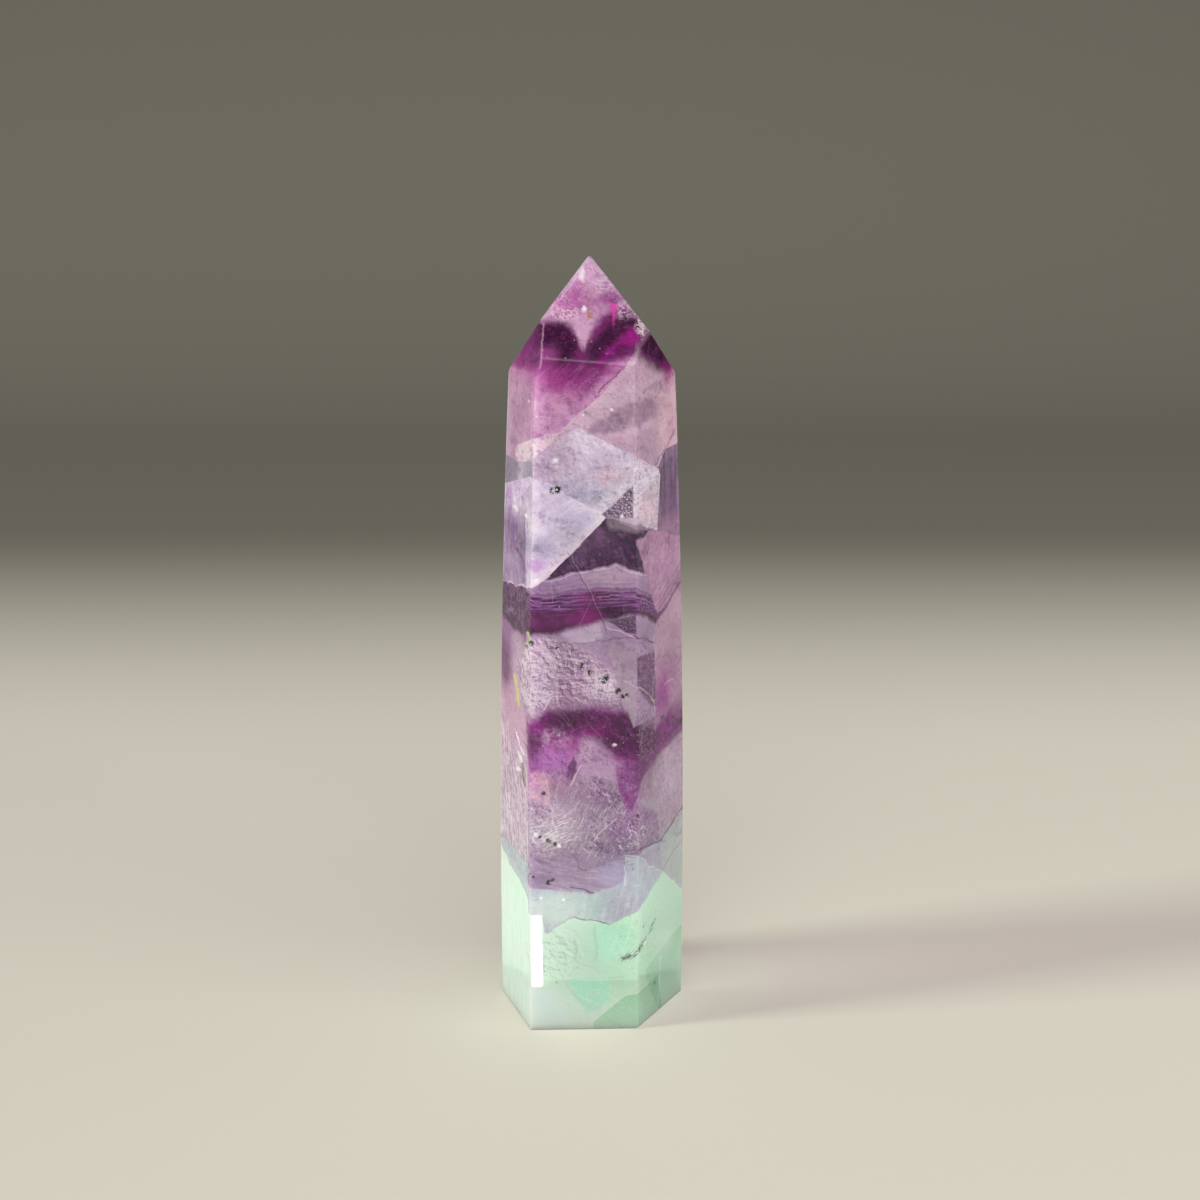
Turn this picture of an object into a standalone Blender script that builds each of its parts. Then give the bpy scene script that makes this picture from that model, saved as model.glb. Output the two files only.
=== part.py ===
"""Fluorite point: a six-sided polished crystal tower, sawn flat at its base and cut to a five-facet tip.

The whole thing is one piece of banded fluorite, so it is one solid. Units are metres and +Z is up.
The origin is the middle of the flat base: the tower stands on z = 0.
"""

import math

import bmesh
import bpy
from mathutils import Matrix, Vector

MM = 0.001

# The outline of the sawn base, seen from above, counter-clockwise from the left-hand corner.
BASE_CORNERS = {
    "left": (-11.15 * MM, 0.05 * MM),
    "front_left": (-7.25 * MM, -9.37 * MM),
    "front_right": (5.45 * MM, -8.92 * MM),
    "right": (11.15 * MM, 0.05 * MM),
    "back_right": (6.30 * MM, 9.07 * MM),
    "back_left": (-6.00 * MM, 9.37 * MM),
}

# The sides are ground very slightly convex: widest just above the base, slimmer towards the tip.
WIDEST_Z = 4.0 * MM
SIDE_BOW = 30.0  # girth lost for each square metre of height above the widest ring
RING_STEP = 8.0 * MM
SHOULDER_RING = 9  # the last ring below the tip's facets
BLANK_HEIGHT = 96.0 * MM  # the ground prism before its tip is cut

# The tip's facets: compass direction faced, slope from upright, and height where each cuts the axis.
TIP_FACETS = {
    "front": (-84.7, 37.4, 88.95 * MM),
    "left_shoulder": (-157.1, 15.3, 108.48 * MM),
    "left": (173.7, 35.2, 90.42 * MM),
    "right": (7.9, 36.1, 89.68 * MM),
    "back": (88.0, 37.0, 90.85 * MM),
}

SAME_CORNER = 0.08 * MM  # facet corners this close are ground to one corner
EDGE_WIDTH = 0.28 * MM  # polished-over width of every edge
EDGE_STEPS = 2
SHARP_EDGE = math.radians(6.0)

# Small shell-shaped nicks, strung along straight paths on the edges. Each has its place along the
# path as a share of it, the radius of the bite and the bite's depth.
APEX = (-0.35 * MM, 0.68 * MM, 89.71 * MM)
RIGHT_TIP_EDGE = (APEX, (6.12 * MM, -4.68 * MM, 81.93 * MM))
RIGHT_TIP_NICKS = (
    (0.53, 0.55 * MM, 0.24 * MM),
    (0.60, 0.42 * MM, 0.20 * MM),
    (0.67, 0.60 * MM, 0.24 * MM),
    (0.75, 0.45 * MM, 0.22 * MM),
    (0.82, 0.70 * MM, 0.30 * MM),
    (0.89, 0.52 * MM, 0.26 * MM),
    (0.96, 0.45 * MM, 0.22 * MM),
)
LEFT_TIP_EDGE = (APEX, (-5.51 * MM, -4.72 * MM, 83.28 * MM))
LEFT_TIP_NICKS = (
    (0.62, 0.45 * MM, 0.14 * MM),
    (0.80, 0.55 * MM, 0.16 * MM),
)
BASE_EDGE = (BASE_CORNERS["front_left"] + (0.0,), BASE_CORNERS["front_right"] + (0.0,))
BASE_NICKS = ((0.83, 0.60 * MM, 0.16 * MM),)
BACK_EDGE = (BASE_CORNERS["back_right"] + (1.5 * MM,), BASE_CORNERS["back_right"] + (30.0 * MM,))
BACK_NICKS = ((0.10, 0.90 * MM, 0.28 * MM),)
NICK_PATHS = (
    (RIGHT_TIP_EDGE, RIGHT_TIP_NICKS),
    (LEFT_TIP_EDGE, LEFT_TIP_NICKS),
    (BASE_EDGE, BASE_NICKS),
    (BACK_EDGE, BACK_NICKS),
)
NICK_TURN = 0.7  # radians that each biting ball is turned from the last, so no two nicks match

LILAC = (0.47, 0.25, 0.56, 1.0)
POLISH = 0.06
FLUORITE_IOR = 1.434


def clear_scene():
    """Remove every object of the scene that the script starts in."""
    for thing in list(bpy.data.objects):
        bpy.data.objects.remove(thing, do_unlink=True)


def fluorite():
    """The crystal's one material: polished, lilac and part see-through."""
    material = bpy.data.materials.new("fluorite")
    material.use_nodes = True
    shader = material.node_tree.nodes["Principled BSDF"]
    shader.inputs["Base Color"].default_value = LILAC
    shader.inputs["Roughness"].default_value = POLISH
    shader.inputs["IOR"].default_value = FLUORITE_IOR
    shader.inputs["Transmission Weight"].default_value = 0.5
    return material


def girth(z):
    """How wide the tower is at a height, as a share of its base outline."""
    return 1.0 + SIDE_BOW * (WIDEST_Z**2 - (z - WIDEST_Z) ** 2)


def add_prism(mesh):
    """Stack scaled copies of the base outline and join them into one closed, slightly bowed prism."""
    rings = []
    levels = [RING_STEP * level for level in range(SHOULDER_RING + 1)]
    for z in levels + [BLANK_HEIGHT]:
        scale = girth(z)
        rings.append([mesh.verts.new((x * scale, y * scale, z)) for x, y in BASE_CORNERS.values()])
    sides = len(BASE_CORNERS)
    for lower, upper in zip(rings, rings[1:]):
        for i in range(sides):
            j = (i + 1) % sides
            mesh.faces.new((lower[i], lower[j], upper[j], upper[i]))
    mesh.faces.new(list(reversed(rings[0])))
    mesh.faces.new(rings[-1])


def facet_plane(direction, slope, axis_height):
    """The outward normal of a tip facet, and the point where its plane crosses the upright axis."""
    turn = math.radians(direction)
    rise = math.radians(slope)
    normal = Vector((math.cos(turn) * math.cos(rise), math.sin(turn) * math.cos(rise), math.sin(rise)))
    return normal, Vector((0.0, 0.0, axis_height))


def cut_tip(mesh):
    """Grind the tip's facets: slice along each plane, drop what stands proud of it and close the cut."""
    for direction, slope, axis_height in TIP_FACETS.values():
        normal, point = facet_plane(direction, slope, axis_height)
        everything = mesh.verts[:] + mesh.edges[:] + mesh.faces[:]
        cut = bmesh.ops.bisect_plane(
            mesh, geom=everything, plane_co=point, plane_no=normal, clear_outer=True, dist=1e-7
        )
        rim = [item for item in cut["geom_cut"] if isinstance(item, bmesh.types.BMEdge)]
        bmesh.ops.contextual_create(mesh, geom=rim)


def round_edges(mesh):
    """Polish over every edge where two faces meet at more than a slight angle."""
    sharp = [edge for edge in mesh.edges if edge.calc_face_angle(0.0) > SHARP_EDGE]
    bmesh.ops.bevel(
        mesh,
        geom=sharp,
        offset=EDGE_WIDTH,
        offset_type="WIDTH",
        segments=EDGE_STEPS,
        profile=0.5,
        affect="EDGES",
        clamp_overlap=True,
    )


def add_tower():
    """The crystal tower as one closed mesh, shaded smooth over its bowed sides and rounded edges."""
    mesh = bmesh.new()
    add_prism(mesh)
    cut_tip(mesh)
    bmesh.ops.remove_doubles(mesh, verts=mesh.verts[:], dist=SAME_CORNER)
    round_edges(mesh)
    bmesh.ops.recalc_face_normals(mesh, faces=mesh.faces[:])
    data = bpy.data.meshes.new("fluorite_point")
    mesh.to_mesh(data)
    mesh.free()
    data.shade_smooth()
    data.set_sharp_from_angle(angle=math.radians(24.0))
    data.materials.append(fluorite())
    tower = bpy.data.objects.new("fluorite_point", data)
    bpy.context.scene.collection.objects.link(tower)
    return tower


def nick_places(path, nicks):
    """Centre and radius of each biting ball: it sits outside the edge and dips in by its depth."""
    start, end = (Vector(point) for point in path)
    for share, radius, depth in nicks:
        spot = start.lerp(end, share)
        outward = Vector((spot.x, spot.y, 0.0)).normalized()
        yield spot + outward * (radius - depth), radius


def add_nick_cutter():
    """One hidden mesh of small faceted balls, one for each nick, that bites the shell-shaped nicks."""
    mesh = bmesh.new()
    turn = 0.0
    for path, nicks in NICK_PATHS:
        for centre, radius in nick_places(path, nicks):
            turn += NICK_TURN
            tumble = Matrix.Rotation(turn, 4, "X") @ Matrix.Rotation(turn, 4, "Z")
            place = Matrix.Translation(centre) @ tumble
            bmesh.ops.create_icosphere(mesh, subdivisions=2, radius=radius, matrix=place)
    data = bpy.data.meshes.new("nick_cutter")
    mesh.to_mesh(data)
    mesh.free()
    cutter = bpy.data.objects.new("nick_cutter", data)
    bpy.context.scene.collection.objects.link(cutter)
    cutter.hide_render = True
    cutter.display_type = "WIRE"
    return cutter


def bite_nicks(tower):
    """Take the nicks out of the tower with a Boolean difference; neighbouring balls may overlap."""
    cut = tower.modifiers.new("nicks", "BOOLEAN")
    cut.operation = "DIFFERENCE"
    cut.use_self = True
    cut.object = add_nick_cutter()


def main():
    """Build the fluorite point."""
    clear_scene()
    bite_nicks(add_tower())


main()
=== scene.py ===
"""Looks of the fluorite point: banded colour, polish and the veils and grains inside the stone.

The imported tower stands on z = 0, in metres. Patterns are laid out in millimetres on the tower's own axes:
x to the right, y to the back and z up, as seen from its broad front side.
"""

import collections
import functools
import math

import bmesh
import bpy
import numpy as np
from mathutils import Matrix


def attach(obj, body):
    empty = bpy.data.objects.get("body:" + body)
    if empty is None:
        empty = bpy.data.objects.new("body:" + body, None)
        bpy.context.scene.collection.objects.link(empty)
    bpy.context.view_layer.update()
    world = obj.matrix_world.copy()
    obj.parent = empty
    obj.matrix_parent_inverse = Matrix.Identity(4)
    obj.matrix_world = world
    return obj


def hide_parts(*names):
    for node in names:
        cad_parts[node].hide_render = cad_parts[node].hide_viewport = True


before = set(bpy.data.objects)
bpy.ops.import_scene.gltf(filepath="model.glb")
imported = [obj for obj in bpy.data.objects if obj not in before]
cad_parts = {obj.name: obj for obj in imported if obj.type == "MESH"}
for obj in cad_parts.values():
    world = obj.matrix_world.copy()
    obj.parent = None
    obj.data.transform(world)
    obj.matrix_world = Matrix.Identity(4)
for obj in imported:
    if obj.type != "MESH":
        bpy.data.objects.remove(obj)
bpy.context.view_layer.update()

bl_info = {
    "name": "Fluorite point",
    "version": (1, 0, 0),
    "blender": (4, 5, 0),
    "location": "View3D > Sidebar > Fluorite",
    "description": "Finishes a banded fluorite tower and sets it on a pale table",
    "category": "Object",
}

NODE = "fluorite_point"
MM = 0.001
FLUORITE_IOR = 1.434
LEAN_FROM = 1.0  # the y, in millimetres, behind which the zones' planes lean
LEAN = (-0.35, -0.74)  # how far those planes shift in x and z for each millimetre towards the back
FAN = (-0.010, 0.012)  # how much that shift grows with height and with x
FAN_HEIGHT = 45.0  # the height, in millimetres, at which the fan adds nothing
SCATTER_DEPTH = 6.0 * MM  # how deep light scatters below the stone's surface
SCATTER_REACH = (1.0, 0.8, 1.0)  # red, green and blue shares of that depth
SHADOW_TINT = (0.6, 0.5, 0.6)  # what passes through the stone into its shadow
VANISHING = 1e-9  # a share of the paint too small to move anything
SHOULDER = 72.0  # where the sides end and the tip begins, in millimetres
BACK_FROM = 0.3  # the y, in millimetres, behind which a face belongs to the back
SLACK = 0.1  # millimetres by which a face's top may pass a limit
WELD = 1e-6  # metres within which two corners are one
SHARP_EDGE = math.radians(30.0)

# The stone's skin, side by side and stretch by stretch: name, side, lowest and highest millimetre.
SKIN = (
    ("fluorite_foot", "front", -1, 16),
    ("fluorite_lilac", "front", 16, 32),
    ("fluorite_heart", "front", 32, 48),
    ("fluorite_bands", "front", 48, 56),
    ("fluorite_veils", "front", 56, 64),
    ("fluorite_shoulder", "front", 64, 72),
    ("fluorite_back_foot", "back", -1, 24),
    ("fluorite_back_heart", "back", 24, 48),
    ("fluorite_back_veils", "back", 48, 72),
    ("fluorite_tip", "tip", 72, 92),
)

Stretch = collections.namedtuple("Stretch", "name faces leans front low high")

# The stage, in metres.
TABLE_RUN = (-0.5, 0.42)  # y of the table's front edge and of where it turns up
HALF_TABLE = 1.2
BEND = 0.25  # radius of the turn from table to wall
WALL_RISE = 1.2
SHADE_FROM, SHADE_SOFT = 0.17, 0.09  # y at which the table turns to the wall's shade, and how softly
LAMPS = (  # name, place, height aimed at, size, tint
    ("key", (-5.5, -1.1, 2.595), 0.045, 1.0, (1.0, 0.97, 0.92)),
    ("front", (0.05, -0.62, 0.5), 0.04, 0.9, (1.0, 0.98, 0.96)),
    ("right", (0.6, -0.3, 0.35), 0.04, 0.4, (1.0, 0.98, 0.96)),
)
STRIP_PLACE, STRIP_TARGET = (-0.0063, -0.0215, 0.0041), (-0.0063, -0.0093, 0.0101)
STRIP_SIZE = (0.0017, 0.0088)
STRIP_POWER = 0.002
ROOM_STRENGTH = 0.5
CAMERA_PLACE = (-0.1 * MM, -178.97 * MM, 100.68 * MM)
CAMERA_DIP = 15.627  # degrees that it looks down
LENS, LENS_SHIFT = 48.0, 0.0075


# ---------------------------------------------------------------- shader maths


class Wire:
    """A shader value on which ordinary Python arithmetic builds Math nodes.

    Its node is made when something first uses it, so a mask that never shows costs nothing. A plain number
    stands for a mask that is the same all over, and multiplying by 0 or 1 adds no node.
    """

    def __init__(self, recipe, build, scaled=None):
        self.recipe = recipe
        self.build = build
        self.scaled = scaled  # makes the same value times a number, where that takes no node more

    @functools.cached_property
    def socket(self):
        return self.build()

    def math(self, operation, *others, first=None, clamp=False):
        values = [self if first is None else first, *others]
        settings = {"operation": operation, "use_clamp": clamp}
        return self.recipe.out("ShaderNodeMath", 0, settings, dict(enumerate(values)))

    def __add__(self, other):
        return self.math("ADD", other)

    def __radd__(self, other):
        return self.math("ADD", other)

    def __sub__(self, other):
        return self.math("SUBTRACT", other)

    def __rsub__(self, other):
        return self.math("SUBTRACT", self, first=other)

    def __mul__(self, other):
        if isinstance(other, Wire):
            product = self.math("MULTIPLY", other)
            if self.scaled:
                product.scaled = lambda share: self.scaled(share) * other
            return product
        if other in (0, 1):
            return self if other else 0.0
        return self.scaled(other) if self.scaled else self.math("MULTIPLY", other)

    def __rmul__(self, other):
        return self * other

    def __abs__(self):
        return self.math("ABSOLUTE")

    def least(self, other):
        return self.math("MINIMUM", other)

    def most(self, other):
        return self.math("MAXIMUM", other)


def union(masks):
    """The strongest of several masks at each point, leaving out those that show nowhere."""
    seen = [mask for mask in masks if isinstance(mask, Wire) or mask]
    return functools.reduce(lambda one, other: one.most(other), seen) if seen else 0.0


class Recipe:
    """A node tree, of a material or of one layer of its paint, filled by a few general methods."""

    def __init__(self, tree):
        self.tree = tree
        self.tree.nodes.clear()

    def plug(self, socket, value):
        """Link a wire to a socket, or set the socket's own value."""
        if isinstance(value, Wire):
            self.tree.links.new(value.socket, socket)
        elif socket.type == "RGBA":
            socket.default_value = (*value[:3], 1.0)
        else:
            socket.default_value = value

    def node(self, kind, settings=None, inputs=None):
        """Add a node: its settings first, a colour ramp's stops among them, then its sockets."""
        sources = {name: value for name, value in (inputs or {}).items() if isinstance(value, Wire)}
        for value in sources.values():
            value.socket
        made = self.tree.nodes.new(kind)
        for name, value in (settings or {}).items():
            if name == "stops":
                self.fill_ramp(made.color_ramp, value)
            else:
                setattr(made, name, value)
        for name, value in (inputs or {}).items():
            self.plug(made.inputs[name], value)
        return made

    @staticmethod
    def fill_ramp(ramp, stops):
        """Set a ramp's stops; each is a place and the level that the ramp has there."""
        ramp.elements.remove(ramp.elements[1])
        for index, (place, level) in enumerate(stops):
            element = ramp.elements.new(place) if index else ramp.elements[0]
            element.color = (level, level, level, level)
        ramp.elements[0].position = stops[0][0]

    def out(self, kind, output, settings=None, inputs=None):
        return Wire(self, lambda: self.node(kind, settings, inputs).outputs[output])

    def mix(self, share, under, over, blend="MIX"):
        """Colour mix: under where share is 0, over, or the two blended, where it is 1."""
        settings = {"data_type": "RGBA", "clamp_factor": True, "blend_type": blend}
        return self.out("ShaderNodeMix", 2, settings, {0: share, 6: under, 7: over})

    def vector(self, operation, *values):
        output = 1 if operation in {"DOT_PRODUCT", "LENGTH", "DISTANCE"} else 0
        slots = {3 if operation == "SCALE" and i else i: value for i, value in enumerate(values)}
        return self.out("ShaderNodeVectorMath", output, {"operation": operation}, slots)

    def step(self, value, edge, soft, level=1.0):
        """0 below the edge and the given level above it, with a smooth ramp twice as wide as soft."""
        settings = {"interpolation_type": "SMOOTHSTEP"}
        ends = {"Value": value, "From Min": edge - soft, "From Max": edge + soft, "To Max": level}
        wire = self.out("ShaderNodeMapRange", 0, settings, ends)
        wire.scaled = lambda share: self.step(value, edge, soft, level * share)
        return wire

    def drop(self, value, edge, soft, level=1.0):
        """The given level below the edge and 0 above it."""
        return self.step(value, edge, -soft, level)

    def noise(self, place, detail=3.0, roughness=0.55, output="Fac"):
        inputs = {"Vector": place, "Scale": 1.0, "Detail": detail, "Roughness": roughness}
        return self.out("ShaderNodeTexNoise", output, {"noise_dimensions": "3D"}, inputs)


def new_material(name, surface, volume=None):
    """A material from two functions of its recipe, which give its surface and, if it has one, its volume."""
    material = bpy.data.materials.new(name)
    material.use_nodes = True
    recipe = Recipe(material.node_tree)
    ends = {"Surface": surface(recipe)}
    if volume is not None:
        ends["Volume"] = volume(recipe)
    recipe.node("ShaderNodeOutputMaterial", None, ends)
    return material


def axis_share(recipe, place, axis):
    """One of a place's three numbers."""
    return recipe.vector("DOT_PRODUCT", place, tuple(float(i == axis) for i in range(3)))


class Canvas:
    """The stone's colour over one stretch of its skin; every place and size is in millimetres.

    The pattern is drawn on the x-z plane as seen from the front and runs back through the stone. Behind
    the middle its planes lean and fan out, so the back shows the same zones at other heights and slopes.
    A mask whose heights miss the stretch is 0 or 1 all over, and adds no node.
    """

    HALF = 12.0  # half of the width that profiles cover
    LEFT_EDGE = -7.35  # where the broad front ends at the left
    INNER_PLANE = 7.15  # the long inner plane that stands beside the front's right edge
    WOBBLE = 1.2  # how far soft outlines wander
    MARGIN = 0.9  # height allowed for the wander of outlines and their soft edges
    FOLD_SHIFT = 0.16  # share of a fold's size between the two places that are compared
    FOLD_EDGE, FOLD_SOFT = 0.06, 0.05  # difference at which a fold shows, and how softly

    def __init__(self, recipe, stretch, paint, place):
        self.recipe = recipe
        self.paint = paint
        self.place = place
        self.low, self.high = stretch.low - self.MARGIN, stretch.high + self.MARGIN
        self.crossings = {}
        self.x, y, self.z = (axis_share(recipe, place, axis) for axis in range(3))
        self.front = stretch.front
        if stretch.leans:
            depth = y.most(LEAN_FROM) - LEAN_FROM
            shift_x = (self.z - FAN_HEIGHT) * FAN[0] + LEAN[0]
            shift_z = self.x * FAN[1] + LEAN[1]
            self.x = depth.math("MULTIPLY_ADD", shift_x, self.x)
            self.z = depth.math("MULTIPLY_ADD", shift_z, self.z)
            if self.front is None:
                self.front = recipe.drop(y, LEAN_FROM, 1.0)
        self.crisp_flat = recipe.out("ShaderNodeCombineXYZ", 0, None, {0: self.x, 1: 1.0, 2: self.z})
        wave_x = recipe.noise(self.spread(2.5), 4.0, 0.62) - 0.5
        wave_z = recipe.noise(self.spread(2.2, 2.2, 40.0), 4.0, 0.62) - 0.5
        self.bent_x = wave_x.math("MULTIPLY_ADD", self.WOBBLE, self.x)
        self.bent_z = wave_z.math("MULTIPLY_ADD", self.WOBBLE, self.z)
        self.flat = recipe.out("ShaderNodeCombineXYZ", 0, None, {0: self.bent_x, 1: 1.0, 2: self.bent_z})
        self.share = self.bent_x * (0.5 / self.HALF) + 0.5
        self.crisp_share = self.x * (0.5 / self.HALF) + 0.5

    def misses(self, low, high):
        """Whether the whole stretch lies below or above these heights."""
        return high < self.low or low > self.high

    # masks

    def over(self, points, crisp=False):
        """Height above the profile that runs straight from each given (x, z) point to the next."""
        heights = [z for _, z in points]
        low, span = min(heights), max(max(heights) - min(heights), 0.001)
        stops = [(x * 0.5 / self.HALF + 0.5, (z - low) / span) for x, z in points]
        share = self.crisp_share if crisp else self.share
        level = self.recipe.out("ShaderNodeValToRGB", "Alpha", {"stops": stops}, {0: share})
        height = (self.z if crisp else self.bent_z) - low
        return level.math("MULTIPLY_ADD", -span, height)

    def above(self, points, soft, crisp=False):
        """1 above a profile of (x, z) points."""
        heights = [z for _, z in points]
        if max(heights) + soft < self.low:
            return 1.0
        if min(heights) - soft > self.high:
            return 0.0
        return self.recipe.step(self.over(points, crisp), 0.0, soft)

    def below(self, points, soft, crisp=False):
        return 1.0 - self.above(points, soft, crisp)

    def right_of(self, x, soft):
        return self.recipe.step(self.bent_x, x, soft)

    def left_of(self, x, soft):
        return self.recipe.drop(self.bent_x, x, soft)

    def left_face(self):
        """1 left of the broad front face."""
        return self.recipe.drop(self.x, self.LEFT_EDGE, 0.08)

    def right_face(self):
        """1 right of the inner plane."""
        return self.recipe.step(self.x, self.INNER_PLANE, 0.06)

    def window(self, low, high, soft=0.2):
        """1 where x lies between two limits; a limit past the stone's side takes no node."""
        if low <= -self.HALF:
            return self.left_of(high, soft)
        if high >= self.HALF:
            return self.right_of(low, soft)
        return self.recipe.drop(abs(self.bent_x - 0.5 * (low + high)), 0.5 * (high - low), soft)

    def along(self, points, half, soft):
        """A line that follows a profile between its first and last point."""
        heights = [z for _, z in points]
        if self.misses(min(heights) - half - soft, max(heights) + half + soft):
            return 0.0
        line = self.recipe.drop(abs(self.over(points)), half, soft)
        return line * self.window(points[0][0], points[-1][0])

    def stroke(self, start, end, half, soft):
        """A straight stroke between two (x, z) points, with rounded ends."""
        reach = half + soft
        if self.misses(min(start[1], end[1]) - reach, max(start[1], end[1]) + reach):
            return 0.0
        run = (end[0] - start[0], 0.0, end[1] - start[1])
        length2 = max(run[0] ** 2 + run[2] ** 2, 1e-6)
        offset = self.recipe.vector("SUBTRACT", self.flat, (start[0], 1.0, start[1]))
        share = self.recipe.vector("DOT_PRODUCT", offset, tuple(c / length2 for c in run))
        nearest = self.recipe.vector("SCALE", run, share.math("ADD", 0.0, clamp=True))
        return self.recipe.drop(self.recipe.vector("DISTANCE", offset, nearest), half, soft)

    def path(self, points, half, soft):
        """A bent line through the given (x, z) points, of any slope."""
        return union(self.stroke(*ends, half, soft) for ends in zip(points, points[1:]))

    def paths(self, lines, half, soft):
        return union(self.path(points, half, soft) for points in lines)

    def oval(self, x, z, wide, high, soft=0.5):
        """A soft oval: centre and half sizes; soft is a share of the size."""
        if self.misses(z - high * (1 + soft), z + high * (1 + soft)):
            return 0.0
        flat = self.recipe.vector("MULTIPLY", self.flat, (1.0 / wide, 0.0, 1.0 / high))
        off = self.recipe.vector("DISTANCE", flat, (x / wide, 0.0, z / high))
        return self.recipe.drop(off, 1.0, soft)

    def dots(self, places, stretch, soft):
        """Small ovals at the given (x, z, size) places."""
        return union(self.oval(x, z, size, size * stretch, soft) for x, z, size in places)

    def depth_in(self, corners, crisp=True):
        """How far inside a convex outline of (x, z) corners a point lies: the least distance to its sides."""
        ring = list(zip(corners, corners[1:] + corners[:1]))
        turn = math.copysign(1.0, sum(x0 * z1 - x1 * z0 for (x0, z0), (x1, z1) in ring))
        flat = self.crisp_flat if crisp else self.flat
        inside = []
        for (x0, z0), (x1, z1) in ring:
            size = math.hypot(x1 - x0, z1 - z0) * turn
            inward_x, inward_z = -(z1 - z0) / size, (x1 - x0) / size
            side = (inward_x, -(x0 * inward_x + z0 * inward_z), inward_z)
            inside.append(self.recipe.vector("DOT_PRODUCT", flat, side))
        return functools.reduce(lambda one, other: one.least(other), inside)

    def facet(self, corners, soft, crisp=True):
        """1 inside a convex outline of (x, z) corners, with straight sides."""
        heights = [z for _, z in corners]
        if self.misses(min(heights) - soft, max(heights) + soft):
            return 0.0
        return self.recipe.step(self.depth_in(corners, crisp), 0.0, soft)

    def area(self, corners, soft):
        """1 inside a convex outline of (x, z) corners, whose sides wander."""
        return self.facet(corners, soft, crisp=False)

    # textures

    def spread(self, long, wide=None, angle=0.0, shift=0.0):
        """Place measured along and across a slope in degrees, so that noise read on it draws into fibres."""
        wide = long if wide is None else wide
        inputs = {
            "Vector": self.place,
            "Location": (shift, 0.0, shift),
            "Rotation": (0.0, -math.radians(angle), 0.0),
            "Scale": (long, wide, wide),
        }
        return self.recipe.out("ShaderNodeMapping", 0, {"vector_type": "TEXTURE"}, inputs)

    def mottle(self, size, edge=0.5, soft=0.08, detail=3.0, roughness=0.6):
        """Soft patches of about the given size."""
        key = (size, detail, roughness)
        if key not in self.crossings:
            self.crossings[key] = self.recipe.noise(self.spread(size), detail, roughness)
        return self.recipe.step(self.crossings[key], edge, soft)

    def fibres(self, angle, long, wide, edge, soft=0.05, detail=3.0):
        """Fine parallel strokes, where stretched noise passes an edge."""
        noise = self.recipe.noise(self.spread(long, wide, angle), detail, 0.6)
        return self.recipe.step(noise, edge, soft)

    def veins(self, size, width, detail=3.0):
        """Thin winding lines, where noise crosses its middle value."""
        wave = abs(self.recipe.noise(self.spread(size), detail, 0.55) - 0.5)
        return self.recipe.drop(wave, 0.0, width)

    def specks(self, size, radius, share):
        """Tiny round specks, one in some of the cells of a Voronoi pattern of the given size."""
        inputs = {"Vector": self.spread(size), "Scale": 1.0}
        tone = self.recipe.out("ShaderNodeTexVoronoi", "Color", {"feature": "F1"}, inputs)
        near = self.recipe.out("ShaderNodeTexVoronoi", "Distance", {"feature": "F1"}, inputs)
        chosen = self.recipe.step(self.recipe.vector("DOT_PRODUCT", tone, (1.0, 0.0, 0.0)), 1.0 - share, 0.04)
        return chosen * self.recipe.drop(near, radius / size, 0.4 * radius / size)

    def cracks(self, size, width):
        """A net of thin straight-sided cracks, about size apart."""
        inputs = {"Vector": self.spread(size), "Scale": 1.0}
        edge = self.recipe.out("ShaderNodeTexVoronoi", "Distance", {"feature": "DISTANCE_TO_EDGE"}, inputs)
        return self.recipe.drop(edge, 0.0, width / size)

    # layers

    def glitter(self, mask, size):
        """Lay painted sparkle: bright many-coloured flecks of about the given size where the mask is."""
        if not isinstance(mask, Wire):
            return
        inputs = {"Vector": self.spread(size), "Scale": 1.0}
        tint = self.recipe.out("ShaderNodeTexVoronoi", "Color", {"feature": "F1"}, inputs)
        near = self.recipe.out("ShaderNodeTexVoronoi", "Distance", {"feature": "F1"}, inputs)
        lively = self.recipe.step(self.recipe.vector("DOT_PRODUCT", tint, (1.0, 0.0, 0.0)), 0.6, 0.1)
        bright = self.recipe.vector("MULTIPLY_ADD", tint, (0.5,) * 3, (0.45,) * 3)
        self.lay(mask * lively * self.recipe.drop(near, 0.3, 0.1), bright)

    def lay(self, mask, colour):
        """Lay a colour over the paint where the mask is, unless the mask shows nowhere."""
        if isinstance(mask, Wire) or 0 < mask < 1:
            self.paint = self.recipe.mix(mask, self.paint, colour)
        elif mask:
            self.paint = colour

    def spots(self, mask, rows):
        """Lay soft ovals within a mask; a row is an oval's five numbers, its share and its colour."""
        for *oval, share, colour in rows:
            self.lay(mask * self.oval(*oval) * share, colour)

    def lines(self, mask, rows):
        """Lay bent lines within a mask; a row is points, half width, softness, share and colour."""
        for points, half, soft, share, colour in rows:
            self.lay(self.path(points, half, soft) * share * mask, colour)

    def tint(self, mask, colour):
        """Darken the paint as a filter of the given colour would."""
        if isinstance(mask, Wire) or mask > 0:
            self.paint = self.recipe.mix(mask, self.paint, colour, "MULTIPLY")

    def glow(self, mask, colour):
        """Lighten the paint as a haze of the given colour would."""
        if isinstance(mask, Wire) or mask > 0:
            self.paint = self.recipe.mix(mask, self.paint, colour, "SCREEN")

    def crinkle(self, mask, size, light, dark, share, stretch=1.0, angle=0.0):
        """Crumpled inner surfaces with painted light and shade: one side of each small fold is laid light as
        a painted highlight, and the other dark as painted shade.

        The folds are the difference of one noise and the same noise a short way up and to the right.
        """
        if isinstance(mask, Wire) or mask:
            rise, fall = self.slopes(size, stretch, angle)
            self.lay(mask * rise * share, light)
            self.lay(mask * fall * share, dark)

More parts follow.
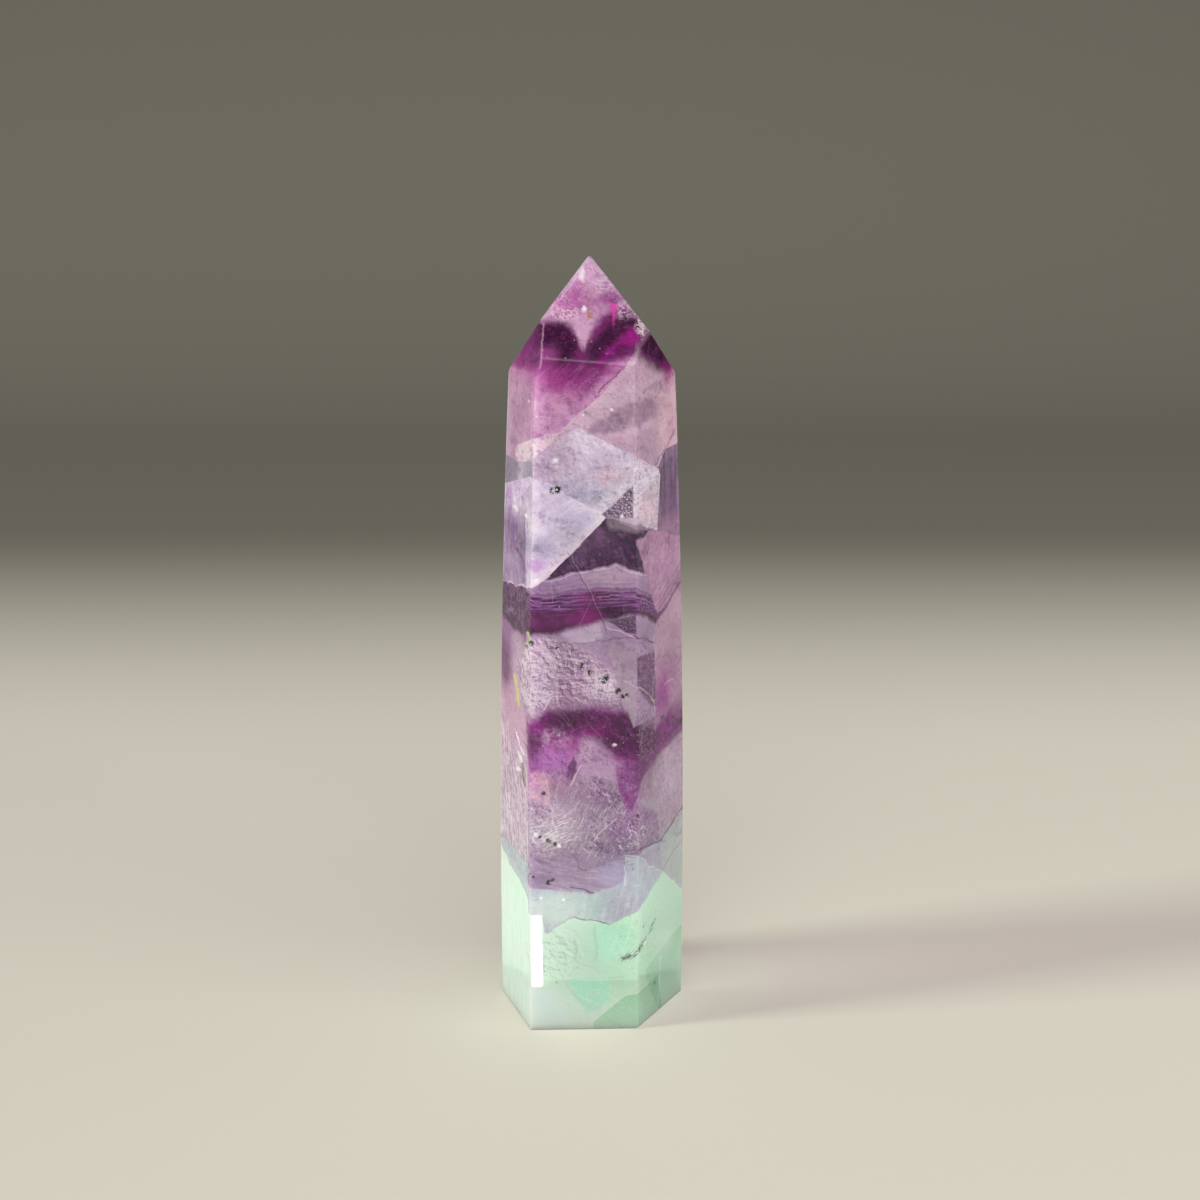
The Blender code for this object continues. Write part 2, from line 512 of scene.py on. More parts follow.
    def folds(self, mask, size, light, dark, share, stretch=1.0, angle=0.0):
        """The same folds, with their painted highlight and painted shade laid as a haze and a filter, which
        keep the colour of what they lie on.
        """
        if isinstance(mask, Wire) or mask:
            rise, fall = self.slopes(size, stretch, angle)
            self.glow(mask * rise * share, light)
            self.tint(mask * fall * share, dark)

    def slopes(self, size, stretch, angle):
        """Masks of where the folds rise towards the light and where they fall away from it."""
        near = self.recipe.noise(self.spread(size * stretch, size, angle), 4.0, 0.6)
        far = self.recipe.noise(self.spread(size * stretch, size, angle, self.FOLD_SHIFT * size), 4.0, 0.6)
        slope = near - far
        rise = self.recipe.step(slope, self.FOLD_EDGE, self.FOLD_SOFT)
        return rise, self.recipe.drop(slope, -self.FOLD_EDGE, self.FOLD_SOFT)

    def zone(self, points, soft, colour, share=1.0, crisp=False):
        self.lay(self.above(points, soft, crisp) * share, colour)


def rgb(*levels):
    """A colour from its display levels, 0 to 255, as linear light."""
    return tuple((v / 255.0) ** 2.2 for v in levels)


# ---------------------------------------------------------------- what a user may change


def colour(name, text, levels):
    """A colour property, whose label is its own name in words."""
    label = name.replace("_", " ").capitalize()
    return bpy.props.FloatVectorProperty(
        name=label, description=text, default=rgb(*levels), subtype="COLOR", size=3, min=0.0, max=1.0
    )


def power(name, description, watts):
    return bpy.props.FloatProperty(name=name, description=description, default=watts, min=0.0, unit="POWER")


PALETTE = (  # name, what it is the colour of, display levels
    ("mint", "The green foot", (222, 250, 232)),
    # this colour is painted light: the foot laid brighter where light gathers in it
    ("mint_bright", "Where light gathers in the foot", (210, 255, 228)),
    # this colour is painted shade: the foot laid darker towards its right, away from the light
    ("mint_deep", "The foot towards the right", (190, 222, 202)),
    ("sage", "The greyish green of the middle of the foot", (212, 230, 220)),
    ("sage_dark", "Stains in the foot", (146, 166, 148)),
    ("aqua", "The turquoise patches of the foot", (178, 242, 216)),
    ("lavender", "The bluish zone over the foot", (182, 188, 204)),
    ("periwinkle", "Brighter bluish lilac", (188, 172, 214)),
    ("heather", "The plain greyish lilac", (170, 146, 178)),
    ("heather_light", "Hazy pale lilac", (210, 182, 212)),
    ("mauve", "Muted purple planes", (146, 106, 152)),
    ("mauve_deep", "Darker muted purple", (84, 44, 90)),
    ("violet", "Thin purple growth lines", (92, 38, 104)),
    ("orchid", "The vivid purple of the heart", (156, 50, 146)),
    ("orchid_deep", "The vivid purple at the tip", (118, 34, 104)),
    ("orchid_light", "Vivid streaks in the lower veil", (184, 120, 202)),
    ("purple", "The purple clouds", (92, 22, 90)),
    ("purple_red", "The warm purple under the tip", (120, 26, 104)),
    ("purple_grey", "The grainy dark block", (104, 68, 106)),
    ("plum", "The darkest purple of bands and tip", (48, 0, 42)),
    ("magenta", "Vivid glows beside the dark purple", (160, 16, 134)),
    ("hot_pink", "The small bright wedge at the tip", (236, 70, 186)),
    ("rose", "The pink right side", (200, 154, 188)),
    ("blush", "The pale pink of tip and left side", (222, 178, 210)),
    ("blush_grey", "Greyish pink", (192, 160, 182)),
    ("pearl", "Very pale lilac", (216, 198, 214)),
    ("smoke", "The clear stone under the tip", (222, 194, 210)),
    ("grey_plum", "Grey planes under the tip", (158, 132, 150)),
    ("dusk", "The dark clear zone under the veils", (46, 16, 52)),
    ("dusk_clear", "Scratched clear stone", (166, 138, 166)),
    ("indigo", "The bluest, darkest places", (38, 20, 60)),
    ("indigo_grey", "The dark column at the right", (112, 94, 116)),
    ("slate", "Bluish grey shadows in the veils", (160, 160, 188)),
    ("sea_grey", "The greenish grey at the left of the veils", (162, 160, 170)),
    # the two veil colours are partly the cleavage planes' whitish colour and partly painted reflection of
    # light off them
    ("veil", "The bright lower cleavage plane", (238, 228, 246)),
    ("veil_grey", "The greyish upper cleavage plane", (240, 230, 244)),
    ("wedge_grey", "The pale grey wedges", (180, 168, 180)),
    ("wedge_dark", "The dark sparkling triangle", (124, 112, 138)),
    ("frost", "Whitish inner surfaces", (232, 222, 236)),
    ("cream", "Warm white glints", (250, 240, 238)),
    ("white", "The brightest glints", (250, 246, 252)),
    ("white_green", "Bright lines in the foot", (222, 255, 238)),
    ("peach", "Warm glints", (236, 190, 196)),
    ("gold", "The small golden inclusion", (176, 132, 84)),
    ("yellow", "The yellow needle", (216, 212, 108)),
    ("leaf", "Light green grains", (176, 206, 132)),
    ("leaf_dark", "Green grains", (84, 118, 62)),
    ("moss", "Black-green mineral grains", (40, 48, 30)),
    ("stone_grey", "Nearly colourless stone", (180, 182, 180)),
    ("orchid_pale", "The lighter purple of the heart", (204, 136, 198)),
    # shine also lays the painted highlight on the lit side of folds, and shade the painted shade on their
    # other side
    ("shine", "The haze of lighter clouds", (58, 32, 56)),
    ("shade", "How the darker clouds filter light", (170, 156, 176)),
    ("peach_pale", "Warm pale light at the right of the tip", (246, 208, 216)),
    ("frost_lilac", "Crinkled inner surfaces", (190, 168, 186)),
    ("veil_blue", "Bluish shade in the lower veil", (196, 190, 222)),
    ("pearl_grey", "Greyish pale lilac", (180, 160, 176)),
    ("blush_pale", "Whitish pink", (226, 190, 216)),
    ("orchid_warm", "The warm vivid purple under the tip", (170, 80, 152)),
    ("sea_mist", "Mint light in the bluish zone", (184, 204, 204)),
    # this colour is painted shade: a filter over the foot's darker facets
    ("mint_shade", "How the darker facets of the foot filter light", (212, 232, 218)),
)


class FluoriteColours(bpy.types.PropertyGroup):
    """The stone's colours, from its base to its tip."""

    __annotations__ = {name: colour(name, text, levels) for name, text, levels in PALETTE}


class FluoriteFinish(bpy.types.PropertyGroup):
    """How clear and how polished the stone is."""

    clarity: bpy.props.FloatProperty(
        name="Clarity",
        description="Share of light that passes through the surface instead of scattering at it",
        default=0.4,
        min=0.0,
        max=1.0,
        subtype="FACTOR",
    )
    polish: bpy.props.FloatProperty(
        name="Polish",
        description="Roughness of the ground and polished faces",
        default=0.045,
        min=0.0,
        max=1.0,
        subtype="FACTOR",
    )


class FluoriteStage(bpy.types.PropertyGroup):
    """The table, the backdrop and the lamps."""

    table: colour("table", "The pale table top", (194, 191, 180))
    backdrop: colour("backdrop", "The plain wall behind the table", (106, 105, 97))
    room: colour("room", "The even light from all around", (170, 170, 165))
    key_power: power("Key lamp", "Power of the far main lamp at the left", 378.0)
    front_power: power("Front lamp", "Power of the wide soft lamp in front", 5.964)
    right_power: power("Right lamp", "Power of the soft lamp at the right", 2.1)


# ---------------------------------------------------------------- the stone's pattern


def lift(points, height):
    """The same profile, higher by the given height."""
    return [(x, z + height) for x, z in points]


def paint_foot(c, look):
    """The mint-green foot, the bluish zone over it and the lines between them."""
    c.paint = look.mint
    # painted shade: the foot laid darker towards the right and filtered darker in its middle right
    c.lay(c.right_of(6.5, 3.0) * 0.8, look.mint_deep)
    c.lay(c.oval(-1.2, 10.4, 6.0, 4.6, 0.5) * 0.8, look.sage)
    c.tint(c.oval(3.6, 9.6, 6.6, 5.6, 0.6) * 0.75, look.mint_shade)
    c.lay(c.oval(2.2, 11.4, 2.2, 2.4, 0.6) * 0.5, look.aqua)
    c.lay(
        c.area([(-2.9, 6.7), (2.0, 6.6), (2.0, 4.2), (1.2, 2.7), (-0.5, 2.4), (-1.6, 3.6)], 0.35) * 0.7,
        look.aqua,
    )
    # painted light: the foot's lower left corner laid near white, as bright as the glow there
    c.lay(
        c.area([
            (-12, -1), (-12, 5.0), (-8.4, 5.4), (-5.6, 5.4), (-3.4, 3.0), (-1.7, 0), (-1.7, -1),
        ], 0.9),
        look.white_green,
    )
    # painted glow: the lower left face of the foot laid lighter where light gathers
    c.lay(c.oval(-9.4, 2.0, 2.4, 5.0, 0.8) * c.left_face() * 0.6, look.mint_bright)
    c.lay(c.left_face() * c.fibres(-78, 6.0, 0.7, 0.54, 0.1) * 0.5, look.sage)
    # painted shade on the darker lower right facets of the foot
    c.tint(c.facet([(0.2, 1.0), (3.9, 4.4), (7.9, 5.0), (8.6, 0.0), (0.2, -0.2)], 0.06), look.mint_shade)
    c.tint(c.facet([(6.2, 6.8), (9.6, 8.9), (12, 9.4), (12, 0), (8.1, 0)], 0.08) * 0.7, look.mint_shade)
    c.lay(c.oval(8.7, 11.0, 1.6, 3.8, 0.5) * 0.5, look.sage)
    c.crinkle(c.oval(-4.2, 10.0, 3.2, 3.0, 0.6), 0.9, look.white_green, look.sage_dark, 0.4)
    c.crinkle(c.oval(5.2, 11.6, 3.4, 4.2, 0.6), 0.7, look.white_green, look.sage_dark, 0.5, 2.6, 50.0)
    c.crinkle(c.oval(0.4, 4.0, 3.6, 2.6, 0.8), 1.1, look.white_green, look.mint_shade, 0.45)
    c.lay(c.veins(3.4, 0.012, 3.0) * c.mottle(4.0, 0.48, 0.1, 2.0, 0.5) * 0.6, look.white_green)
    c.lay(c.veins(2.7, 0.008, 3.0) * c.above([(-12, 6), (12, 8)], 2.0) * 0.35, look.sage_dark)
    # the bluish zone: clear, with mint light coming through its lower part
    top = [
        (-11.4, 20.6), (-9.7, 18.8), (-8.5, 18.1), (-7.6, 17.3), (-7.4, 15.2), (-5.7, 14.2), (-5.4, 12.8),
        (-4.1, 13.5), (-2.7, 14.6), (-1.8, 14.7), (2.0, 13.7), (5.4, 15.5), (8.4, 18.1), (9.5, 16.4),
        (11.4, 13.4),
    ]
    zone = c.above(top, 0.25)
    c.lay(zone, look.lavender)
    c.spots(zone, (
        (-4.0, 15.8, 3.6, 2.0, 0.6, 0.75, look.sage),
        (0.6, 16.2, 3.0, 1.7, 0.6, 0.6, look.sea_mist),
        (3.4, 16.0, 2.4, 1.8, 0.6, 0.5, look.heather),
    ))
    c.lay(zone * c.window(-12, -7.4, 0.1) * 0.55, look.sea_mist)
    c.lay(c.along(top[1:5], 0.06, 0.14) * 0.5, look.mauve)
    c.lay(c.along([(-5.4, 12.8), (-4.1, 13.5), (-2.7, 14.6), (-1.8, 14.7)], 0.06, 0.2) * 0.45, look.mauve)
    c.lay(c.along([(-2.0, 14.8), (2.0, 13.75)], 0.05, 0.06) * 0.9, look.dusk)
    c.lay(c.along([(2.0, 13.7), (5.4, 15.5), (8.3, 17.9)], 0.03, 0.12) * 0.4, look.mauve)
    c.crinkle(zone, 0.8, look.frost, look.mauve, 0.26, 2.6, 30.0)
    c.lay(zone * c.veins(3.2, 0.010, 3.0) * 0.5, look.frost)
    c.lay(zone * c.fibres(78, 3.0, 0.5, 0.56, 0.1) * 0.3, look.frost)
    # the lilac over it
    low = [
        (-11.4, 21.3), (-10.9, 21.0), (-9.0, 22.2), (-8.1, 21.8), (-7.5, 21.3), (-7.4, 18.6),
        (-5.6, 18.5), (-3.4, 18.1), (0.0, 17.8), (2.5, 18.6), (3.8, 19.4), (3.9, 22.5), (5.4, 22.2),
        (6.2, 22.9), (8.2, 22.2), (9.9, 24.1), (11.4, 25.0),
    ]
    c.zone(low, 0.22, look.heather)
    c.lay(c.along(low[:5], 0.06, 0.22) * 0.6, look.mauve)
    lilac = c.above(low, 0.3) * c.below([
        (-12, 23), (-7.4, 22.6), (-3.7, 23.6), (-0.4, 21.0), (3.9, 22.6), (12, 26),
    ], 0.6)
    c.crinkle(lilac, 0.8, look.pearl, look.mauve, 0.4, 3.2, -8.0)
    c.lay(lilac * c.veins(2.2, 0.014, 3.0) * 0.6, look.pearl)
    c.lay(lilac * c.fibres(-12, 5.0, 0.5, 0.54, 0.08) * 0.35, look.mauve)
    c.spots(1.0, (
        (2.4, 20.2, 1.8, 1.5, 0.6, 0.7, look.periwinkle),
        (-5.6, 19.6, 1.7, 0.8, 0.6, 0.5, look.mauve),
    ))


def paint_body(c, look):
    """The clear lower body: mauve planes, scratched clear areas and the purple heart."""
    low_right = c.below([
        (-12, 16), (3.9, 22.5), (5.4, 22.2), (6.2, 22.9), (8.2, 22.2), (9.9, 24.1), (12, 25.6),
    ], 0.1)
    low_right = low_right * c.above(
        [(-12, 19), (3.9, 19.5), (8.3, 18.2), (12, 13.5)], 0.3
    ) * c.right_of(3.9, 0.1)
    c.lay(low_right * c.right_of(8.0, 1.0) * 0.8, look.stone_grey)
    c.crinkle(low_right, 0.8, look.pearl, look.mauve, 0.35, 2.5, 50.0)
    c.lay(c.area([(5.4, 22.1), (8.2, 22.2), (8.4, 18.3), (7.0, 20.0)], 0.3) * 0.5, look.heather)
    c.zone([
        (-11.4, 23.0), (-7.4, 22.6), (-3.7, 23.6), (-1.7, 22.0), (-0.4, 20.6), (1.0, 21.0), (3.9, 22.6),
        (11.4, 26.5),
    ], 0.4, look.mauve, 0.4)
    c.lay(c.along([(-7.1, 22.6), (-5.4, 21.8), (-4.0, 22.4), (-3.0, 23.4)], 0.15, 0.5) * 0.5, look.violet)
    c.lines(1.0, (
        ([(-3.7, 23.6), (-1.7, 22.0), (-1.4, 21.0), (-0.4, 20.6)], 0.05, 0.12, 0.8, look.violet),
        ([(-2.7, 18.6), (-1.2, 18.3), (0.2, 17.9)], 0.07, 0.08, 0.9, look.violet),
    ))
    # the greyish clear stone
    clear = c.area([
        (-7.3, 32.5), (-1.4, 34.0), (0.5, 33.4), (3.7, 31.6), (4.5, 29.4), (3.6, 26.2), (0.6, 22.9),
        (-2.9, 22.6), (-7.3, 23.0),
    ], 0.8)
    c.lay(clear * 0.75, look.dusk_clear)
    mauve = c.area([(0.2, 24.4), (4.4, 28.8), (5.7, 28.7), (7.8, 26.2), (8.1, 22.6), (0.7, 22.8)], 0.3)
    c.lay(mauve * 0.85, look.mauve)
    c.lay(mauve * c.fibres(52, 3.0, 0.35, 0.52, 0.1) * 0.35, look.violet)
    c.lay(c.along([(0.5, 23.3), (3.0, 22.8), (5.6, 23.0)], 0.25, 0.5) * 0.5, look.violet)
    c.lay(
        c.area([(0.6, 31.2), (4.1, 31.0), (4.0, 27.4), (0.9, 27.0)], 0.7)
        * c.mottle(0.5, 0.5, 0.05, 4.0, 0.7) * 0.55,
        look.mauve_deep,
    )
    c.lay(c.oval(-4.6, 27.6, 2.4, 1.6, 0.6) * 0.5, look.heather_light)
    broken = union((clear, mauve))
    patch = c.mottle(2.6, 0.5, 0.1, 2.0, 0.5)
    c.crinkle(broken * patch, 0.7, look.frost, look.mauve_deep, 0.6)
    c.crinkle(broken * (1.0 - patch), 0.6, look.cream, look.mauve_deep, 0.45, 3.6, 55.0)
    c.lay(broken * c.mottle(1.7, 0.53, 0.08, 3.0, 0.5) * 0.35, look.pearl_grey)
    c.lay(broken * c.veins(3.4, 0.010, 3.0) * 0.55, look.mauve_deep)
    c.lay(broken * c.veins(2.3, 0.012, 3.0) * 0.6, look.frost)
    c.lay(broken * c.oval(-4.6, 25.4, 2.4, 1.4, 0.7) * 0.4, look.frost)
    # the pale right side, below the rising purple line
    pale = union((
        c.area([(5.3, 31.8), (7.7, 33.6), (12, 36.4), (12, 26.1), (7.6, 26.2), (5.5, 28.4)], 0.25),
        c.area([(7.6, 26.6), (12, 27.0), (12, 25.9), (8.2, 22.5)], 0.25),
    ))
    c.lay(pale, look.pearl_grey)
    c.lay(pale * c.oval(9.2, 30.6, 1.8, 3.0, 0.7) * 0.6, look.pearl)
    c.lay(pale * c.fibres(48, 4.0, 0.4, 0.55, 0.1) * 0.3, look.mauve)
    c.crinkle(pale, 0.9, look.pearl, look.mauve, 0.3, 2.5, 52.0)
    c.lines(1.0, (
        ([(11.2, 25.0), (9.9, 24.1), (8.2, 22.2), (6.2, 22.9), (5.5, 23.0)],
         0.09, 0.13, 0.9, look.violet),
        ([(11.2, 20.5), (9.8, 20.0), (8.4, 18.3)], 0.05, 0.1, 0.8, look.mauve),
    ))
    # the purple heart, vivid below and darkest near its top
    heart = c.above([
        (-11.4, 34.0), (-8.0, 32.5), (-7.3, 31.5), (-5.2, 31.5), (-2.9, 31.0), (-1.8, 33.4), (2.4, 33.4),
        (3.9, 28.6), (4.9, 28.0), (5.3, 31.6), (7.7, 33.5), (11.4, 35.2),
    ], 1.1)
    inner = heart * c.window(-7.4, 12, 0.3)
    c.lay(inner, look.orchid)
    c.lay(heart * c.window(-12, -7.4, 0.2), look.blush)
    c.lay(
        inner * c.window(-7.4, -0.6, 2.0) * c.below([(-12, 36.4), (12, 36.4)], 1.6) * 0.7,
        look.orchid_pale,
    )
    c.lay(inner * c.mottle(2.2, 0.52, 0.12, 6.0, 0.62) * 0.4, look.purple)
    band = c.above([
        (-7.4, 36.4), (-5.2, 37.2), (-2.6, 37.4), (0.2, 36.6), (2.4, 35.2), (4.6, 34.2), (7.3, 33.4),
        (12, 35.0),
    ], 1.2)
    c.lay(inner * band * c.right_of(-4.6, 1.8) * 0.5, look.purple)
    c.lay(inner * band * c.mottle(0.9, 0.52, 0.08, 5.0, 0.62) * c.right_of(-4.0, 2.0) * 0.45, look.plum)
    c.lay(c.oval(-2.4, 39.0, 3.0, 1.2, 0.8) * 0.85, look.plum)
    c.lay(
        inner * c.oval(-4.6, 37.0, 1.8, 0.8, 0.7) * c.mottle(0.7, 0.5, 0.08, 4.0, 0.6) * 0.6, look.pearl
    )
    c.spots(1.0, (
        (3.0, 37.2, 2.8, 2.2, 0.7, 0.8, look.plum),
        (5.9, 35.4, 1.6, 4.2, 0.7, 0.65, look.plum),
        (-6.6, 36.0, 0.9, 1.9, 0.6, 0.7, look.plum),
        (0.3, 37.6, 1.7, 0.8, 0.9, 0.45, look.magenta),
    ))
    c.lay(c.area([(2.8, 33.8), (6.6, 33.8), (5.2, 28.2), (4.5, 27.2)], 0.9) * 0.5, look.mauve)
    c.lay(c.area([(4.4, 34.6), (6.6, 33.4), (5.5, 30.0)], 0.5) * 0.6, look.purple)
    c.lay(c.path([(6.8, 33.0), (5.2, 29.8), (4.9, 28.0)], 0.08, 0.3) * 0.5, look.blush)
    c.spots(1.0, (
        (-4.4, 33.6, 2.2, 1.8, 0.7, 0.6, look.orchid_light),
        (-3.9, 31.4, 1.9, 1.7, 0.7, 0.7, look.blush_grey),
    ))
    c.lay(heart * c.veins(2.6, 0.012, 4.0) * 0.45, look.blush)
    glow = c.area([
        (-0.9, 37.0), (0.8, 36.4), (2.1, 35.2), (3.3, 33.4), (2.4, 31.8), (-1.4, 32.2), (-1.9, 34.4),
    ], 0.8)
    c.lay(glow * 0.8, look.heather_light)
    c.lay(
        c.area([(-2.8, 33.6), (-2.2, 34.6), (-1.8, 34.0), (-1.9, 32.8), (-2.4, 31.9), (-2.9, 32.3)], 0.1)
        * 0.75,
        look.mauve_deep,
    )
    c.folds(heart, 0.8, look.violet, look.heather, 0.6)
    c.lay(c.path([(10.9, 34.9), (7.7, 33.5), (5.3, 31.6), (4.9, 28.6)], 0.12, 0.4) * 0.85, look.purple)
    # the left side's pale streaks
    left = c.left_face()
    low_left = left * c.below(
        [(-11.4, 37.0), (-7, 34.0)], 2.5
    ) * c.above([(-11.4, 21.5), (-7, 21.5)], 0.4)
    c.lay(low_left * 0.85, look.pearl)
    c.lay(low_left * c.fibres(-72, 7.0, 0.5, 0.53, 0.1, 4.0) * 0.45, look.mauve)
    c.lay(low_left * c.fibres(-84, 6.0, 0.35, 0.57, 0.06, 4.0) * 0.6, look.cream)
    c.crinkle(low_left, 0.6, look.cream, look.mauve, 0.45, 2.6, -74.0)


def paint_frost(c, look):
    """The whitish crinkled zone over the purple heart, the pale wedge and the dark grainy block beside it."""
    left = c.left_face()
    base = c.above([
        (-11.4, 43.5), (-8.3, 41.0), (-7.2, 39.4), (-6.3, 39.9), (-4.8, 41.0), (-1.4, 40.8), (0.2, 41.2),
        (3.7, 40.6), (5.0, 38.8), (7.4, 37.4), (11.4, 41.0),
    ], 1.2)
    c.lay(base, look.heather)
    c.lay(base * left, look.mauve)
    c.lay(c.oval(-9.0, 39.5, 1.3, 4.6, 0.5) * left * 0.8, look.blush_grey)
    c.lay(c.oval(-10.4, 43.2, 1.0, 3.0, 0.6) * 0.8, look.purple)
    c.lay(left * c.oval(-8.3, 44.6, 0.8, 4.0, 0.6) * 0.7, look.pearl)
    top = [
        (-11.4, 46.0), (-8.2, 45.6), (-7.0, 48.3), (-6.2, 48.7), (-4.8, 48.9), (-2.6, 48.0), (-0.4, 47.0),
        (2.1, 44.9), (4.2, 41.6), (11.4, 40.0),
    ]
    frost = base * c.below(top, 0.5) * c.window(-8.3, 4.3, 0.4)
    c.lay(frost, look.frost_lilac)
    foot = c.along([(-7.2, 40.4), (-4.8, 41.4), (-1.4, 41.2), (0.2, 41.4), (3.7, 40.8)], 0.3, 1.3)
    c.lay(foot * c.mottle(0.6, 0.48, 0.1, 4.0, 0.6) * 0.7, look.mauve)
    c.lay(frost * c.mottle(1.6, 0.5, 0.12, 5.0, 0.6) * 0.5, look.heather)
    c.spots(frost, (
        (-6.2, 41.8, 1.8, 1.6, 0.6, 0.8, look.frost),
        (1.5, 43.0, 2.0, 1.6, 0.6, 0.8, look.frost),
        (-5.6, 45.6, 2.0, 3.2, 0.6, 0.7, look.frost),
        (-2.6, 44.0, 1.6, 2.2, 0.8, 0.45, look.mauve),
        (-3.6, 47.2, 2.6, 1.0, 0.8, 0.35, look.mauve),
    ))
    c.crinkle(frost, 0.75, look.cream, look.mauve_deep, 0.66)
    c.crinkle(frost, 0.4, look.frost, look.mauve, 0.5, 1.8, 20.0)
    pale = c.area([(-3.4, 49.2), (0.7, 50.5), (1.0, 48.8), (0.3, 48.2), (-2.6, 48.1)], 0.35)
    c.lay(pale * 0.45, look.frost)
    # the right side
    right = c.right_face() * base
    c.lay(right, look.blush_grey)
    c.lay(c.oval(8.6, 39.9, 1.7, 3.6, 0.7) * right * 0.85, look.orchid)
    c.lay(c.oval(10.2, 41.0, 1.3, 3.4, 0.6) * 0.7, look.blush_grey)
    c.lay(right * c.fibres(40, 5.0, 0.5, 0.54, 0.1) * 0.35, look.mauve)
    c.lay(c.facet([(5.05, 47.9), (7.15, 47.4), (7.4, 38.4), (5.05, 38.3)], 0.1) * 0.7, look.heather)
    block = c.facet([(5.05, 46.4), (7.15, 46.0), (7.4, 39.4), (6.6, 40.0), (5.05, 43.0)], 0.15)
    c.lay(block * 0.9, look.purple_grey)
    c.crinkle(
        c.facet([(5.05, 50.0), (7.15, 49.0), (7.4, 34.0), (5.05, 34.0)], 0.1),
        0.5,
        look.heather,
        look.plum,
        0.45,
    )
    c.lay(
        c.facet([(1.7, 48.1), (5.05, 47.9), (5.05, 38.3), (4.7, 38.0), (2.1, 46.2)], 0.1) * 0.85,
        look.wedge_grey,
    )
    c.tint(c.area([(1.7, 48.1), (5.05, 47.9), (5.05, 44.5), (2.3, 46.2)], 0.5) * 0.4, look.heather_light)
    c.lay(c.path([(3.3, 43.8), (5.6, 42.7), (7.2, 40.2)], 0.04, 0.08) * 0.5, look.cream)
    c.lay(c.along([(-2.6, 48.0), (0.3, 48.2), (2.7, 48.5), (5.0, 48.7)], 0.04, 0.14) * 0.6, look.purple)
    c.lay(c.along([(4.8, 48.7), (5.8, 48.4), (7.5, 47.0)], 0.1, 0.14) * 0.9, look.purple)


